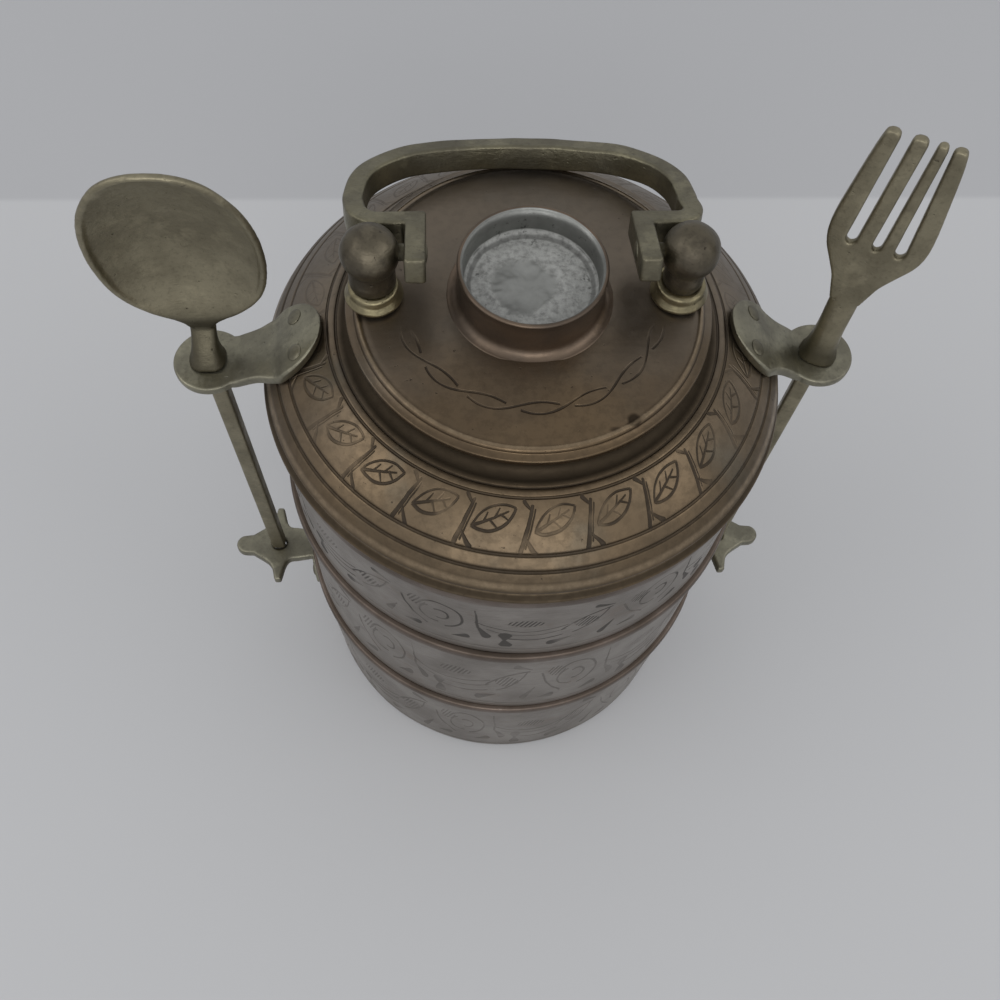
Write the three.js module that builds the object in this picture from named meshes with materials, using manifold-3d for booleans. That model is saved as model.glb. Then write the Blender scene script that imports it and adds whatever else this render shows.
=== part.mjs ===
// Tiffin carrier: three stacked food bowls under a raised lid with a bail handle. A spoon
// and a fork stand at the sides, and their shafts tie the lid down to the bottom bowl.
// Millimetres, +Z up. The origin is the centre of the face it stands on. The fork is on the
// +X side and the spoon on the -X side, and the bail lies folded back towards +Y.

import * as THREE from "three";
import { mergeVertices } from "three/addons/utils/BufferGeometryUtils.js";
import Module from "manifold-3d";

const wasm = await Module();
wasm.setup();

// Clearances and the fineness of round forms
const seatGap = 0.3;
const slideGap = 0.4;
const cutOverrun = 2;
const ringSteps = 40;
const smallRingSteps = 16;
const rivetSteps = 8;

// Bowls
const bowlRadius = 68;
const bowlSheet = 1.5;
const bottomHeight = 61;
const middleHeight = 56.8;
const topHeight = 43.6;
const footDepth = 6;
const floorCorner = 3;
const rimProud = 1.7;
const topRimProud = 1.2;
const rimHeight = 4.4;

// Lid: skirt, rolled edge, sloping shoulder, ledge, hollow neck and the flange on its top
const lidSheet = 1.4;
const skirtDepth = 7;
const edgeProud = 2.4;
const edgeHeight = 4;
const edgeRound = 1;
const shoulderRun = 18;
const shoulderRise = 17.6;
const shoulderRoundnessShare = 1.25;
const shoulderSteps = 5;
const ledgeWidth = 1.6;
const neckInset = 6.4;
const neckHeight = 6.5;
const flangeWidth = 1.8;

// Cap on the neck
const capOverhang = 1.9;
const capSheet = 1.5;
const capDome = 1.4;
const capFlatRadius = 20;
const capDomeSteps = 3;
const capLip = 1.5;
const capEdgeRound = 1;

// Cup on the cap, which leaves this much room to the posts' foot rings
const cupClearance = 12.3;
const cupHeight = 11.2;
const cupWall = 1.3;
const cupFloor = 2.6;
const cupFillet = 1.2;

// Fitted by hand: the brackets and lugs lie a little in front of the bowls' middle, and they,
// the posts and the bail lie a little to the spoon's side
const fittingsForward = 3;
const fittingsAside = 1.8;
const postsAside = 0.7;

// Ball posts and their foot rings
const postInset = 8.1;
const ballRadius = 7;
const ballHeight = 17.3;
const columnRadius = 4.6;
const shankRadius = 2.6;
const tailRadius = 3.3;
const tailHeight = 2;
const footRingRadius = 7.2;
const footRingHeight = 2.2;

// Bail: a flat bar bent into tabs, crossbars, curled sides and a long shallow arch
const bailWidth = 6.6;
const bailThickness = 5;
const bailOutset = 3.1;
const tabInset = 10.5;
const tabTail = 8;
const crossbarOffset = 10;
const bailCorner = 5;
const bailArchShares = [
  [1, 0.46], [0.973, 0.63], [0.896, 0.76], [0.75, 0.874], [0.58, 0.942], [0.29, 0.987], [0, 1],
];
const bailArchSteps = 14;
const pinRadius = 2;
const pinLength = 10.6;

// Brackets on the lid
const shaftOutset = 12.3;
const bracketThickness = 2.6;
const bracketEndRise = 4.9;
const bracketEndRadius = 9.4;
const bracketSetback = 1.8;
const bracketWaist = 14.8;
const bracketPadRadius = 10;
const bracketFlareShares = [[0.48, 0.5], [0.58, 0.12], [0.7, 0]];
const bracketLeaveShare = 0.42;
const bracketBendShare = 0.78;
const shaftHoleRadius = 3.6;
const bracketRivetSpacing = 10.8;
const bracketRivetShare = 0.2;

// Rivets
const rivetRadius = 1.3;
const rivetHeadRadius = 2.3;
const rivetHeadHeight = 0.8;

// Lugs on the bottom bowl
const lugThickness = 4;
const lugDrop = 8.5;
const lugReach = 15.4;
const lugSpike = 14.2;
const lugStem = 11;
const lugNub = 6.8;
const lugInnerShares = [[-0.45, 0.42], [-0.2, 0.5], [-0.06, 1]];
const lugOuterShares = [[0.08, 1], [0.2, 0.58], [0.62, 0.25]];
const lugBoreRadius = 2.6;
const lugFlangeThickness = 2.4;
const lugFlangeWidth = 24;
const lugFlangeHeight = 17;
const lugFlangeShares = [[1, 0.3], [0.82, 0.7], [0.5, 1], [0.25, 0.9], [0, 0.6]];
const lugRivetSpacing = 13;
const lugRivetShare = 0.6;

// Spoon and fork
const shaftSide = 4.6;
const shaftChamfer = 0.6;
const tipRadius = 2.2;
const footSide = 8.2;
const spoonYaw = THREE.MathUtils.degToRad(-0.5);
const spoonLean = THREE.MathUtils.degToRad(6);
const spoonWidth = 40;
const spoonLength = 56.8;
const spoonDepth = 9;
const spoonSheet = 1.5;
const spoonTaperShare = -0.03;
const spoonNeck = 10.4;
const spoonNeckShares = [
  [0, 0.5, 0.45, 0], [0.25, 0.43, 0.4, 0], [0.65, 0.35, 0.3, 0.1], [1, 0.42, 0.215, 0.8],
  [1.26, 0.57, 0.165, 1.32], [1.58, 0.28, 0.115, 1.9],
];
const spoonRings = 5;
const spoonSteps = 24;
const forkYaw = THREE.MathUtils.degToRad(-24);
const forkLean = THREE.MathUtils.degToRad(1.4);
const forkPlate = 2.2;
const forkNeck = 22.7;
const forkNeckShares = [
  [0, 0.5, 0.45], [0.15, 0.45, 0.4], [0.5, 0.39, 0.32], [0.95, 0.4, 0.175], [1.18, 0.41, 0.12],
];
const forkWidth = 24.4;
const forkLength = 53.1;
const forkTines = 33.9;
const forkTineSteps = 4;
const forkCurl = 0.8;
const forkWidthShares = [
  [0, 0.29], [0.076, 0.38], [0.152, 0.49], [0.238, 0.68], [0.333, 0.9], [0.42, 0.98],
  [0.533, 0.97], [0.686, 0.9], [1, 0.71],
];
const forkTineShares = [[1, 0.57], [0.33, 0.08], [-0.14, -0.42], [-0.67, -1]];
const forkTipShare = 0.6;
const forkCrotchShares = [0.3, 0.01];

// Heights and places that follow from these sizes
const footRadius = bowlRadius - bowlSheet - slideGap;
const edgeRadius = bowlRadius + edgeProud;
const ledgeRadius = bowlRadius - shoulderRun;
const neckRadius = ledgeRadius - neckInset;
const capRadius = neckRadius + capOverhang;
const middleSeat = bottomHeight + seatGap;
const topSeat = middleSeat + middleHeight + seatGap;
const lidSeat = topSeat + topHeight + seatGap;
const edgeTop = lidSeat + edgeHeight;
const ledgeTop = edgeTop + shoulderRise;
const neckTop = ledgeTop + neckHeight;
const capUnder = neckTop + seatGap;
const capEdgeTop = capUnder + capSheet;
const capTop = capEdgeTop + capDome;
const pivotHeight = capEdgeTop + ballHeight;
const postX = capRadius - postInset;
const tabX = postX - tabInset;
const bailHalfSpan = postX + bailOutset;
const bailReach = capRadius - seatGap;
const cupRadius = postX - footRingRadius - cupClearance;
const shaftX = bowlRadius + shaftOutset;
const bracketInnerRadius = ledgeRadius + bracketSetback;
const bracketEndTop = edgeTop + bracketEndRise;
const cutleryFoot = bracketEndTop + seatGap;
const lugTop = bottomHeight - lugDrop;

// What lies forward and aside is the other way round on the left side, which is made as a right
// side and turned half round
const rightSide = {
  name: "right", out: -fittingsAside, off: -fittingsForward, postOut: -postsAside,
};
const leftSide = {
  name: "left", out: fittingsAside, off: fittingsForward, postOut: postsAside,
};

// Materials
function metal(color, roughness) {
  return new THREE.MeshStandardMaterial({ color, roughness, metalness: 1 });
}
const tinnedCopper = metal(0x8d8782, 0.45);
const lidCopper = metal(0x7c4a30, 0.4);
const cupTin = metal(0x9a9a98, 0.5);
const fittingBrass = metal(0x5d5334, 0.45);
const wornBrass = metal(0x8a7740, 0.38);
const rivetBrass = metal(0x4d472f, 0.5);

// A closed geometry as a solid, with its faces turned outwards
function solid(geometry) {
  const bare = geometry.clone();
  for (const name of Object.keys(bare.attributes)) {
    if (name !== "position") bare.deleteAttribute(name);
  }
  const merged = mergeVertices(bare);
  const position = merged.attributes.position;
  const corners = [new THREE.Vector3(), new THREE.Vector3(), new THREE.Vector3()];
  const triangles = [];
  let volume = 0;
  for (let i = 0; i < merged.index.count; i += 3) {
    const triangle = [0, 1, 2].map((k) => merged.index.getX(i + k));
    if (new Set(triangle).size < triangle.length) continue;
    triangle.forEach((vertex, k) => corners[k].fromBufferAttribute(position, vertex));
    volume += corners[0].dot(corners[1].cross(corners[2]));
    triangles.push(triangle);
  }
  if (volume < 0) triangles.forEach((triangle) => triangle.reverse());
  return new wasm.Manifold(new wasm.Mesh({
    numProp: 3,
    vertProperties: new Float32Array(position.array),
    triVerts: new Uint32Array(triangles.flat()),
  }));
}

// A named mesh of a solid
function piece(name, body, material) {
  const { vertProperties, triVerts } = body.getMesh();
  const geometry = new THREE.BufferGeometry();
  geometry.setAttribute("position", new THREE.BufferAttribute(vertProperties, 3));
  geometry.setIndex(new THREE.BufferAttribute(triVerts, 1));
  geometry.computeVertexNormals();
  const mesh = new THREE.Mesh(geometry, material);
  mesh.name = name;
  return mesh;
}

// A closed outline of [radius, height] pairs, spun about Z
function turned(outline, steps = ringSteps) {
  const points = outline.map(([radius, height]) => new THREE.Vector2(radius, height));
  if (outline[0][0] > 0) points.push(points[0].clone());
  return solid(new THREE.LatheGeometry(points, steps).rotateX(Math.PI / 2));
}

// A round bar about Z
function bar(radius, bottom, top, steps = smallRingSteps) {
  return turned([[0, bottom], [radius, bottom], [radius, top], [0, top]], steps);
}

// A closed outline of [x, y] pairs, raised from one height to another
function raised(outline, bottom, top) {
  const shape = new THREE.Shape(outline.map(([x, y]) => new THREE.Vector2(x, y)));
  const options = { depth: top - bottom, bevelEnabled: false };
  return new THREE.ExtrudeGeometry(shape, options).translate(0, 0, bottom);
}

// A skin through cross sections, each a list of as many points, closed at both ends
function lofted(sections) {
  const around = sections[0].length;
  const last = (sections.length - 1) * around;
  const index = [];
  for (let start = 0; start < last; start += around) {
    for (let i = 0; i < around; i += 1) {
      const next = (i + 1) % around;
      index.push(start + i, start + next, start + around + next);
      index.push(start + i, start + around + next, start + around + i);
    }
  }
  for (let i = 1; i + 1 < around; i += 1) {
    index.push(0, i + 1, i, last, last + i, last + i + 1);
  }
  const geometry = new THREE.BufferGeometry();
  geometry.setAttribute("position", new THREE.Float32BufferAttribute(sections.flat(2), 3));
  geometry.setIndex(index);
  return geometry;
}

// Points on an arc about a centre, from one angle to another in degrees
function arc([x, y], radius, from, to, steps) {
  return Array.from({ length: steps + 1 }, (_, i) => {
    const angle = THREE.MathUtils.degToRad(from + ((to - from) * i) / steps);
    return [x + radius * Math.cos(angle), y + radius * Math.sin(angle)];
  });
}

// A smooth open run through a few [x, y] points
function smooth(points, steps) {
  const curve = new THREE.SplineCurve(points.map(([x, y]) => new THREE.Vector2(x, y)));
  return curve.getPoints(steps).map((point) => [point.x, point.y]);
}

// The same run of points, moved sideways to its left by a distance
function shifted(line, distance) {
  const ways = line.slice(1).map(([x, y], i) => {
    return new THREE.Vector2(x - line[i][0], y - line[i][1]).normalize();
  });
  return line.map(([x, y], i) => {
    const before = ways[Math.max(i - 1, 0)];
    const after = ways[Math.min(i, ways.length - 1)];
    const mitre = distance / (1 + before.dot(after));
    return [x - (before.y + after.y) * mitre, y + (before.x + after.x) * mitre];
  });
}

// Both halves of an outline that is the same on either side of the X axis
function mirrored(half) {
  const other = half.filter(([, y]) => y > seatGap).map(([x, y]) => [x, -y]);
  return [...half, ...other.reverse()];
}

// Rivets: a domed head on the outer face, a shank through the grip and a tail inside
function rivet(grip) {
  const under = -grip - seatGap;
  return turned([
    [0, under - rivetHeadHeight], [rivetHeadRadius, under - rivetHeadHeight],
    [rivetHeadRadius, under], [rivetRadius, under], [rivetRadius, seatGap],
    [rivetHeadRadius, seatGap], [rivetHeadRadius / Math.SQRT2, seatGap + rivetHeadHeight],
    [0, seatGap + rivetHeadHeight],
  ], rivetSteps);
}

function rivetHole(grip) {
  return bar(rivetRadius + seatGap, -grip - cutOverrun, cutOverrun, rivetSteps);
}

// Two places side by side on a turned wall, about a line that many millimetres off the X axis.
// Their Z axes are tipped out from straight up.
function rivetPlaces(radius, height, spacing, tip, off) {
  return [-1, 1].map((sign) => {
    const turn = new THREE.Matrix4().makeRotationZ((off + (sign * spacing) / 2) / radius);
    const move = new THREE.Matrix4().makeTranslation(radius, 0, height);
    return turn.multiply(move).multiply(new THREE.Matrix4().makeRotationY(tip));
  });
}

function atPlaces(body, places) {
  return places.map((place) => body.transform(place.elements)).reduce((all, one) => all.add(one));
}

// What a function makes for the right side, joined to what it makes for the left side
function bothSides(make) {
  const halfTurn = new THREE.Matrix4().makeRotationZ(Math.PI).elements;
  return make(rightSide).add(make(leftSide).transform(halfTurn));
}

// Bowls: a straight wall with a rolled rim. An upper bowl drops its foot into the one below.
function rim(top, proud) {
  const half = rimHeight / 2;
  return arc([0, top - half], half, -90, 90, 4).map(([reach, z]) => {
    return [bowlRadius + (reach * proud) / half, z];
  });
}

function bowl(seat, height, nested, proud = rimProud) {
  const top = seat + height;
  const floor = nested ? seat - footDepth : seat;
  const low = nested ? footRadius : bowlRadius;
  const corner = [low - floorCorner, floor + floorCorner];
  const step = nested ? [[low, seat], [bowlRadius, seat]] : [];
  const inner = [
    [0, floor + bowlSheet], [low - floorCorner, floor + bowlSheet],
    [low - bowlSheet, floor + floorCorner],
    ...step.map(([radius, z]) => [radius - bowlSheet, z + bowlSheet]),
    [bowlRadius - bowlSheet, top],
  ];
  const outer = [[0, floor], ...arc(corner, floorCorner, -90, 0, 2), ...step, ...rim(top, proud)];
  return turned([...outer, ...inner.reverse()]);
}

// Lugs: a pointed cross that takes the shaft's tip, on a flange riveted to the bowl's wall
const lugRivetGrip = bowlSheet + seatGap + lugFlangeThickness;

function lugRivets({ off }) {
  return rivetPlaces(
    bowlRadius + seatGap + lugFlangeThickness, lugTop - lugFlangeHeight * lugRivetShare,
    lugRivetSpacing, Math.PI / 2, off,
  );
}

function lugCross(centre) {
  const scaled = ([x, y]) => [centre + x * lugReach, y * lugSpike];
  const nub = [centre + lugReach - lugNub / 2, 0];
  return mirrored([
    [bowlRadius - bowlSheet, lugStem / 2],
    ...smooth(lugInnerShares.map(scaled), 4),
    ...smooth(lugOuterShares.map(scaled), 4),
    ...arc(nub, lugNub / 2, 90, 0, 3),
  ]);
}

function lug(side) {
  const centre = shaftX + side.out;
  const near = bowlRadius + seatGap;
  const far = near + lugFlangeThickness;
  const bottom = lugTop - lugFlangeHeight;
  const hoop = turned([[near, bottom], [far, bottom], [far, lugTop], [near, lugTop]]);
  const halfFlange = lugFlangeShares.map(([x, y]) => {
    return [-x * lugFlangeHeight, (y * lugFlangeWidth) / 2];
  });
  const flange = raised(mirrored(halfFlange), 0, far + cutOverrun).rotateY(-Math.PI / 2)
    .rotateZ(Math.PI).translate(0, side.off, lugTop);
  const crossBottom = lugTop - lugThickness;
  const cross = raised(lugCross(centre), crossBottom, lugTop).translate(0, side.off, 0);
  return solid(cross)
    .subtract(bar(near, crossBottom - cutOverrun, lugTop + cutOverrun, ringSteps))
    .add(hoop.intersect(solid(flange)))
    .subtract(bar(lugBoreRadius, crossBottom - cutOverrun, lugTop + cutOverrun)
      .translate([centre, side.off, 0]))
    .subtract(atPlaces(rivetHole(lugRivetGrip), lugRivets(side)));
}

// Lid shoulder: the outer line climbs from the rolled edge over the ledge to the neck's flange
function shoulderPoint(share) {
  const rise = (1 - share ** shoulderRoundnessShare) ** (1 / shoulderRoundnessShare);
  const start = edgeRadius - edgeRound;
  return [ledgeRadius + (start - ledgeRadius) * share, edgeTop + shoulderRise * rise];
}

function shoulderLine() {
  const slope = Array.from({ length: shoulderSteps + 1 }, (_, i) => {
    return shoulderPoint(1 - i / shoulderSteps);
  });
  const hollow = ledgeRadius - ledgeWidth - neckRadius;
  return [
    ...slope,
    ...arc([neckRadius + hollow, ledgeTop + hollow], hollow, -90, -180, 3),
    [neckRadius, neckTop], [neckRadius - flangeWidth, neckTop],
  ];
}

// Slope of the shoulder about a share of its run, taken over one of its steps
function shoulderSlope(share) {
  const inner = shoulderPoint(share - 1 / (2 * shoulderSteps));
  const outer = shoulderPoint(share + 1 / (2 * shoulderSteps));
  return Math.atan2(inner[1] - outer[1], outer[0] - inner[0]);
}

const bracketMiddleShare = (bracketInnerRadius + bracketRivetShare * (shaftX - bracketInnerRadius)
  - ledgeRadius) / (edgeRadius - edgeRound - ledgeRadius);
const bracketSeat = shoulderPoint(bracketMiddleShare);
const bracketSlope = shoulderSlope(bracketMiddleShare);
const bracketRivetGrip = bracketThickness + seatGap + lidSheet;

function bracketRivets({ off }) {
  return rivetPlaces(
    bracketSeat[0] + (bracketThickness + seatGap) * Math.sin(bracketSlope),
    bracketSeat[1] + (bracketThickness + seatGap) * Math.cos(bracketSlope),
    bracketRivetSpacing, bracketSlope, off,
  );
}

function lidShoulder() {
  const skirt = footRadius - lidSheet;
  const line = shoulderLine();
  return turned([
    [footRadius, lidSeat - skirtDepth], [footRadius, lidSeat], [edgeRadius - edgeRound, lidSeat],
    [edgeRadius, lidSeat + edgeRound], [edgeRadius, edgeTop - edgeRound],
    ...line, ...shifted(line, lidSheet).reverse(),
    [skirt, lidSeat + edgeRound], [skirt, lidSeat - skirtDepth],
  ]).subtract(bothSides((side) => atPlaces(rivetHole(bracketRivetGrip), bracketRivets(side))));
}

// Brackets: a plate that lies on the shoulder and levels out round the shaft's hole
function bracketPlan(centre) {
  const length = centre - bracketInnerRadius;
  const waist = bracketWaist / 2;
  const end = Math.asin(waist / bracketEndRadius) * THREE.MathUtils.RAD2DEG;
  return mirrored([
    ...arc([bracketInnerRadius + bracketPadRadius, 0], bracketPadRadius, 180, 85, 6),
    ...bracketFlareShares.map(([x, y]) => {
      return [bracketInnerRadius + x * length, waist + y * (bracketPadRadius - waist)];
    }),
    ...arc([centre, 0], bracketEndRadius, 180 - end, 0, 7),
  ]);
}

function bracketSide(centre) {
  const leave = bracketInnerRadius + bracketLeaveShare * (centre - bracketInnerRadius);
  const bend = bracketInnerRadius + bracketBendShare * (centre - bracketInnerRadius);
  const under = bracketEndTop - bracketThickness;
  const onShoulder = shifted(shoulderLine().slice(0, shoulderSteps + 1), -seatGap)
    .filter(([radius]) => radius < leave);
  const line = [
    [centre + bracketEndRadius + cutOverrun, under], [bend, under], ...onShoulder,
  ];
  return [...line, ...shifted(line, -bracketThickness).reverse()];
}

function bracket(side) {
  const centre = shaftX + side.out;
  const plan = raised(bracketPlan(centre), lidSeat, capTop).translate(0, side.off, 0);
  return turned(bracketSide(centre))
    .intersect(solid(plan))
    .subtract(bar(shaftHoleRadius, lidSeat, capTop).translate([centre, side.off, 0]))
    .subtract(atPlaces(rivetHole(bracketRivetGrip), bracketRivets(side)));
}

// Cap: a slightly domed disc with a turned-down lip, drilled for the posts
function cap() {
  const lip = neckRadius + seatGap;
  const reach = capRadius - capEdgeRound;
  const dome = Array.from({ length: capDomeSteps + 1 }, (_, i) => {
    const share = i / capDomeSteps;
    return [capFlatRadius + (reach - capFlatRadius) * share, capTop - capDome * share * share];
  });
  const inside = dome.slice(0, -1).map(([radius, z]) => [radius, z - capSheet]);
  const disc = turned([
    [0, capTop], ...dome, [capRadius, capEdgeTop - capEdgeRound],
    [capRadius, capUnder - capLip], [lip, capUnder - capLip], [lip, capUnder],
    [neckRadius - flangeWidth, capUnder], ...inside.reverse(), [0, capTop - capSheet],
  ]);
  const hole = bar(shankRadius + seatGap, neckTop, capTop + cutOverrun);
  return disc.subtract(bothSides(({ postOut }) => hole.translate([postX + postOut, 0, 0])));
}

// Cup: open at the top, with a small fillet where it stands on the cap
function cup() {
  const base = capTop + seatGap;
  const top = base + cupHeight;
  const inside = cupRadius - cupWall;
  return turned([
    [0, base], [cupRadius + cupFillet, base], [cupRadius, base + cupFillet], [cupRadius, top],
    [inside, top], [inside, base + cupFloor + cupFillet], [inside - cupFillet, base + cupFloor],
    [0, base + cupFloor],
  ]);
}

// Posts: a ball on a column, whose shank goes through the cap to a spread tail under it
function post() {
  const collar = capTop + seatGap;
  const under = capUnder - seatGap;
  const meet = Math.asin(columnRadius / ballRadius) * THREE.MathUtils.RAD2DEG;
  const ball = arc([0, pivotHeight], ballRadius, meet - 90, 90, 7);
  const deep = postX - tabX + bailThickness / 2 - pinLength - seatGap;
  const bore = bar(pinRadius + seatGap, -ballRadius - cutOverrun, -deep);
  const body = turned([
    [0, under - tailHeight], [tailRadius, under - tailHeight], [tailRadius, under],
    [shankRadius, under], [shankRadius, collar], [columnRadius, collar], ...ball,
  ], smallRingSteps);
  const across = new THREE.Matrix4().makeTranslation(0, 0, pivotHeight)
    .multiply(new THREE.Matrix4().makeRotationY(Math.PI / 2));
  return body.subtract(bore.transform(across.elements));
}

function footRing() {
  const bottom = capTop + seatGap;
  const middle = bottom + footRingHeight / 2;
  const inside = columnRadius + seatGap;
  return turned([
    [inside, bottom], [footRingRadius - seatGap, bottom], [footRingRadius, middle],
    [footRingRadius - seatGap * 2, bottom + footRingHeight], [inside, bottom + footRingHeight],
  ], smallRingSteps);
}

// Bail: drawn flat with X across and Y away from the pivots, then tipped onto the cap
function bail() {
  const half = bailHalfSpan;
  const side = [half - bailCorner, crossbarOffset + bailCorner];
  const right = [
    [tabX, -tabTail], [tabX, crossbarOffset], ...arc(side, bailCorner, -90, 0, 3),
    ...smooth(bailArchShares.map(([x, y]) => [x * half, y * bailReach]), bailArchSteps),
  ];
  const left = right.slice(0, -1).map(([x, y]) => [-x, y]);
  const line = [...right, ...left.reverse()];
  const outline = [
    ...shifted(line, bailThickness / 2), ...shifted(line, -bailThickness / 2).reverse(),
  ];
  const across = new THREE.Matrix4().makeRotationY(Math.PI / 2);
  const bore = bar(pinRadius + seatGap, -half, half).transform(across.elements);
  return solid(raised(outline, -bailWidth / 2, bailWidth / 2)).subtract(bore);
}

function pivotPin() {
  const start = tabX - bailThickness / 2;
  const across = new THREE.Matrix4().makeRotationY(Math.PI / 2);
  return bar(pinRadius, start, start + pinLength).transform(across.elements);
}

// The bail rests where the underside of its bar meets the cap's rear edge
function bailRestTilt() {
  const reach = capRadius - capEdgeRound;
  const drop = pivotHeight - capEdgeTop;
  const gap = bailWidth / 2 + seatGap;
  return Math.atan2(drop, reach) - Math.asin(gap / Math.hypot(drop, reach));
}

// Shaft of the spoon and of the fork: square, with a round tip that stands in the lug
function barSection(height, halfWidth, halfDepth, y = 0) {
  const w = halfWidth - shaftChamfer;
  const d = halfDepth - shaftChamfer;
  return [
    [halfWidth, d], [w, halfDepth], [-w, halfDepth], [-halfWidth, d],
    [-halfWidth, -d], [-w, -halfDepth], [w, -halfDepth], [halfWidth, -d],
  ].map(([x, depth]) => [x, y + depth, height]);
}

function shaft() {
  const half = shaftSide / 2;
  const shoulder = lugTop + seatGap;
  const square = solid(lofted([
    barSection(shoulder, half, half), barSection(cutleryFoot + shaftSide, half, half),
  ]));
  return square.add(bar(tipRadius, lugTop - lugThickness, shoulder + half));
}

// Spoon: an egg-shaped hollow bowl that leans forward, on a neck that widens at both ends
function spoonBowl() {
  const points = [];
  const index = [];
  const last = spoonRings * spoonSteps;
  for (const back of [0, spoonSheet]) {
    for (let ring = 0; ring <= spoonRings; ring += 1) {
      const share = ring / spoonRings;
      for (let step = 0; step < spoonSteps; step += 1) {
        const angle = (2 * Math.PI * step) / spoonSteps;
        const narrow = 1 + spoonTaperShare * Math.cos(angle);
        const x = (share * spoonWidth * Math.sin(angle) * narrow) / 2;
        const z = (share * spoonLength * Math.cos(angle)) / 2;
        points.push(x, back + spoonDepth * (1 - share * share), z);
      }
    }
  }
  const back = last + spoonSteps;
  for (let ring = 0; ring < last; ring += spoonSteps) {
    for (let step = 0; step < spoonSteps; step += 1) {
      const a = ring + step;
      const b = ring + ((step + 1) % spoonSteps);
      index.push(a, a + spoonSteps, b + spoonSteps, a, b + spoonSteps, b);
      index.push(back + a, back + b + spoonSteps, back + a + spoonSteps);
      index.push(back + a, back + b, back + b + spoonSteps);
    }
  }
  for (let step = 0; step < spoonSteps; step += 1) {
    const a = last + step;
    const b = last + ((step + 1) % spoonSteps);
    index.push(a, back + a, back + b, a, back + b, b);
  }
  const geometry = new THREE.BufferGeometry();
  geometry.setAttribute("position", new THREE.Float32BufferAttribute(points, 3));
  geometry.setIndex(index);
  return geometry;
}

function spoon() {
  const half = spoonLength / 2;
  const set = half * Math.sin(spoonLean);
  const centre = cutleryFoot + spoonNeck + half * Math.cos(spoonLean);
  const bowlBody = spoonBowl().rotateX(spoonLean).translate(0, 0, centre);
  const neck = lofted(spoonNeckShares.map(([height, width, depth, back]) => {
    const z = cutleryFoot + spoonNeck * height;
    return barSection(z, footSide * width, footSide * depth, set * back);
  }));
  return shaft().add(solid(neck)).add(solid(bowlBody));
}

// Fork: a flat head with four tines that curl slightly forward at their tips
function forkHalfWidth(share) {
  const next = forkWidthShares.findIndex(([height]) => height >= share);
  const [h1, w1] = forkWidthShares[Math.max(next, 1)];
  const [h0, w0] = forkWidthShares[Math.max(next, 1) - 1];
  return (forkWidth / 2) * (w0 + ((w1 - w0) * (share - h0)) / (h1 - h0));
}

function forkHead() {
  const crotch = 1 - forkTines / forkLength;
  const [crotchInset, crotchRise] = forkCrotchShares;
  const at = (side, share) => [side * forkHalfWidth(share), share * forkLength];
  const below = forkWidthShares.map(([share]) => share).filter((share) => share < crotch);
  const climb = Array.from({ length: forkTineSteps }, (_, i) => {
    return crotch + ((1 - crotch) * (i + 0.5)) / forkTineSteps;
  });
  const outline = below.map((share) => at(1, share));
  forkTineShares.forEach(([near, far], i) => {
    const middle = (near + far) / 2;
    outline.push(...climb.map((share) => at(near, share)));
    outline.push(at(middle + (near - middle) * forkTipShare, 1));
    outline.push(at(middle + (far - middle) * forkTipShare, 1));
    outline.push(...climb.map((share) => at(far, share)).reverse());
    if (i + 1 === forkTineShares.length) return;
    const slot = forkTineShares[i + 1][0] - far;
    outline.push(at(far + slot * crotchInset / 2, crotch + crotchRise));
    outline.push(at(far + slot / 2, crotch));
    outline.push(at(far + slot * (1 - crotchInset / 2), crotch + crotchRise));
  });
  outline.push(...below.map((share) => at(-1, share)).reverse());
  return outline;
}

function fork() {
  const head = raised(forkHead(), -forkPlate / 2, forkPlate / 2).rotateX(Math.PI / 2);
  const position = head.attributes.position;
  for (let i = 0; i < position.count; i += 1) {
    const share = position.getZ(i) / forkLength;
    position.setY(i, position.getY(i) - forkCurl * share * share);
  }
  const neck = lofted(forkNeckShares.map(([height, width, depth]) => {
    return barSection(forkNeck * height, footSide * width, footSide * depth);
  }));
  const lean = new THREE.Matrix4().makeShear(0, 0, 0, 0, -Math.tan(forkLean), 0);
  const top = solid(neck).add(solid(head.translate(0, 0, forkNeck))).transform(lean.elements);
  return shaft().add(top.translate([0, 0, cutleryFoot]));
}

// Assembly
function rivetPieces(name, body, places) {
  return places.map((place, i) => {
    const mesh = piece(`${name}_${i + 1}`, body, rivetBrass);
    mesh.applyMatrix4(place);
    return mesh;
  });
}

function sidePieces(side, cutlery) {
  const group = new THREE.Group();
  const posts = new THREE.Group();
  posts.position.x = postX + side.postOut;
  posts.add(
    piece(`post_${side.name}`, post(), fittingBrass),
    piece(`post_ring_${side.name}`, footRing(), wornBrass),
  );
  cutlery.position.set(shaftX + side.out, side.off, 0);
  group.add(
    posts,
    piece(`lug_${side.name}`, lug(side), fittingBrass),
    ...rivetPieces(`lug_rivet_${side.name}`, rivet(lugRivetGrip), lugRivets(side)),
    piece(`bracket_${side.name}`, bracket(side), fittingBrass),
    ...rivetPieces(`bracket_rivet_${side.name}`, rivet(bracketRivetGrip), bracketRivets(side)),
    cutlery,
  );
  return group;
}

function bailPieces() {
  const group = new THREE.Group();
  const leftPin = piece("pivot_pin_left", pivotPin(), fittingBrass);
  leftPin.rotation.z = Math.PI;
  group.add(
    piece("handle_bail", bail(), fittingBrass),
    piece("pivot_pin_right", pivotPin(), fittingBrass),
    leftPin,
  );
  group.position.set(-postsAside, 0, pivotHeight);
  group.rotation.x = -bailRestTilt();
  return group;
}

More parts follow.
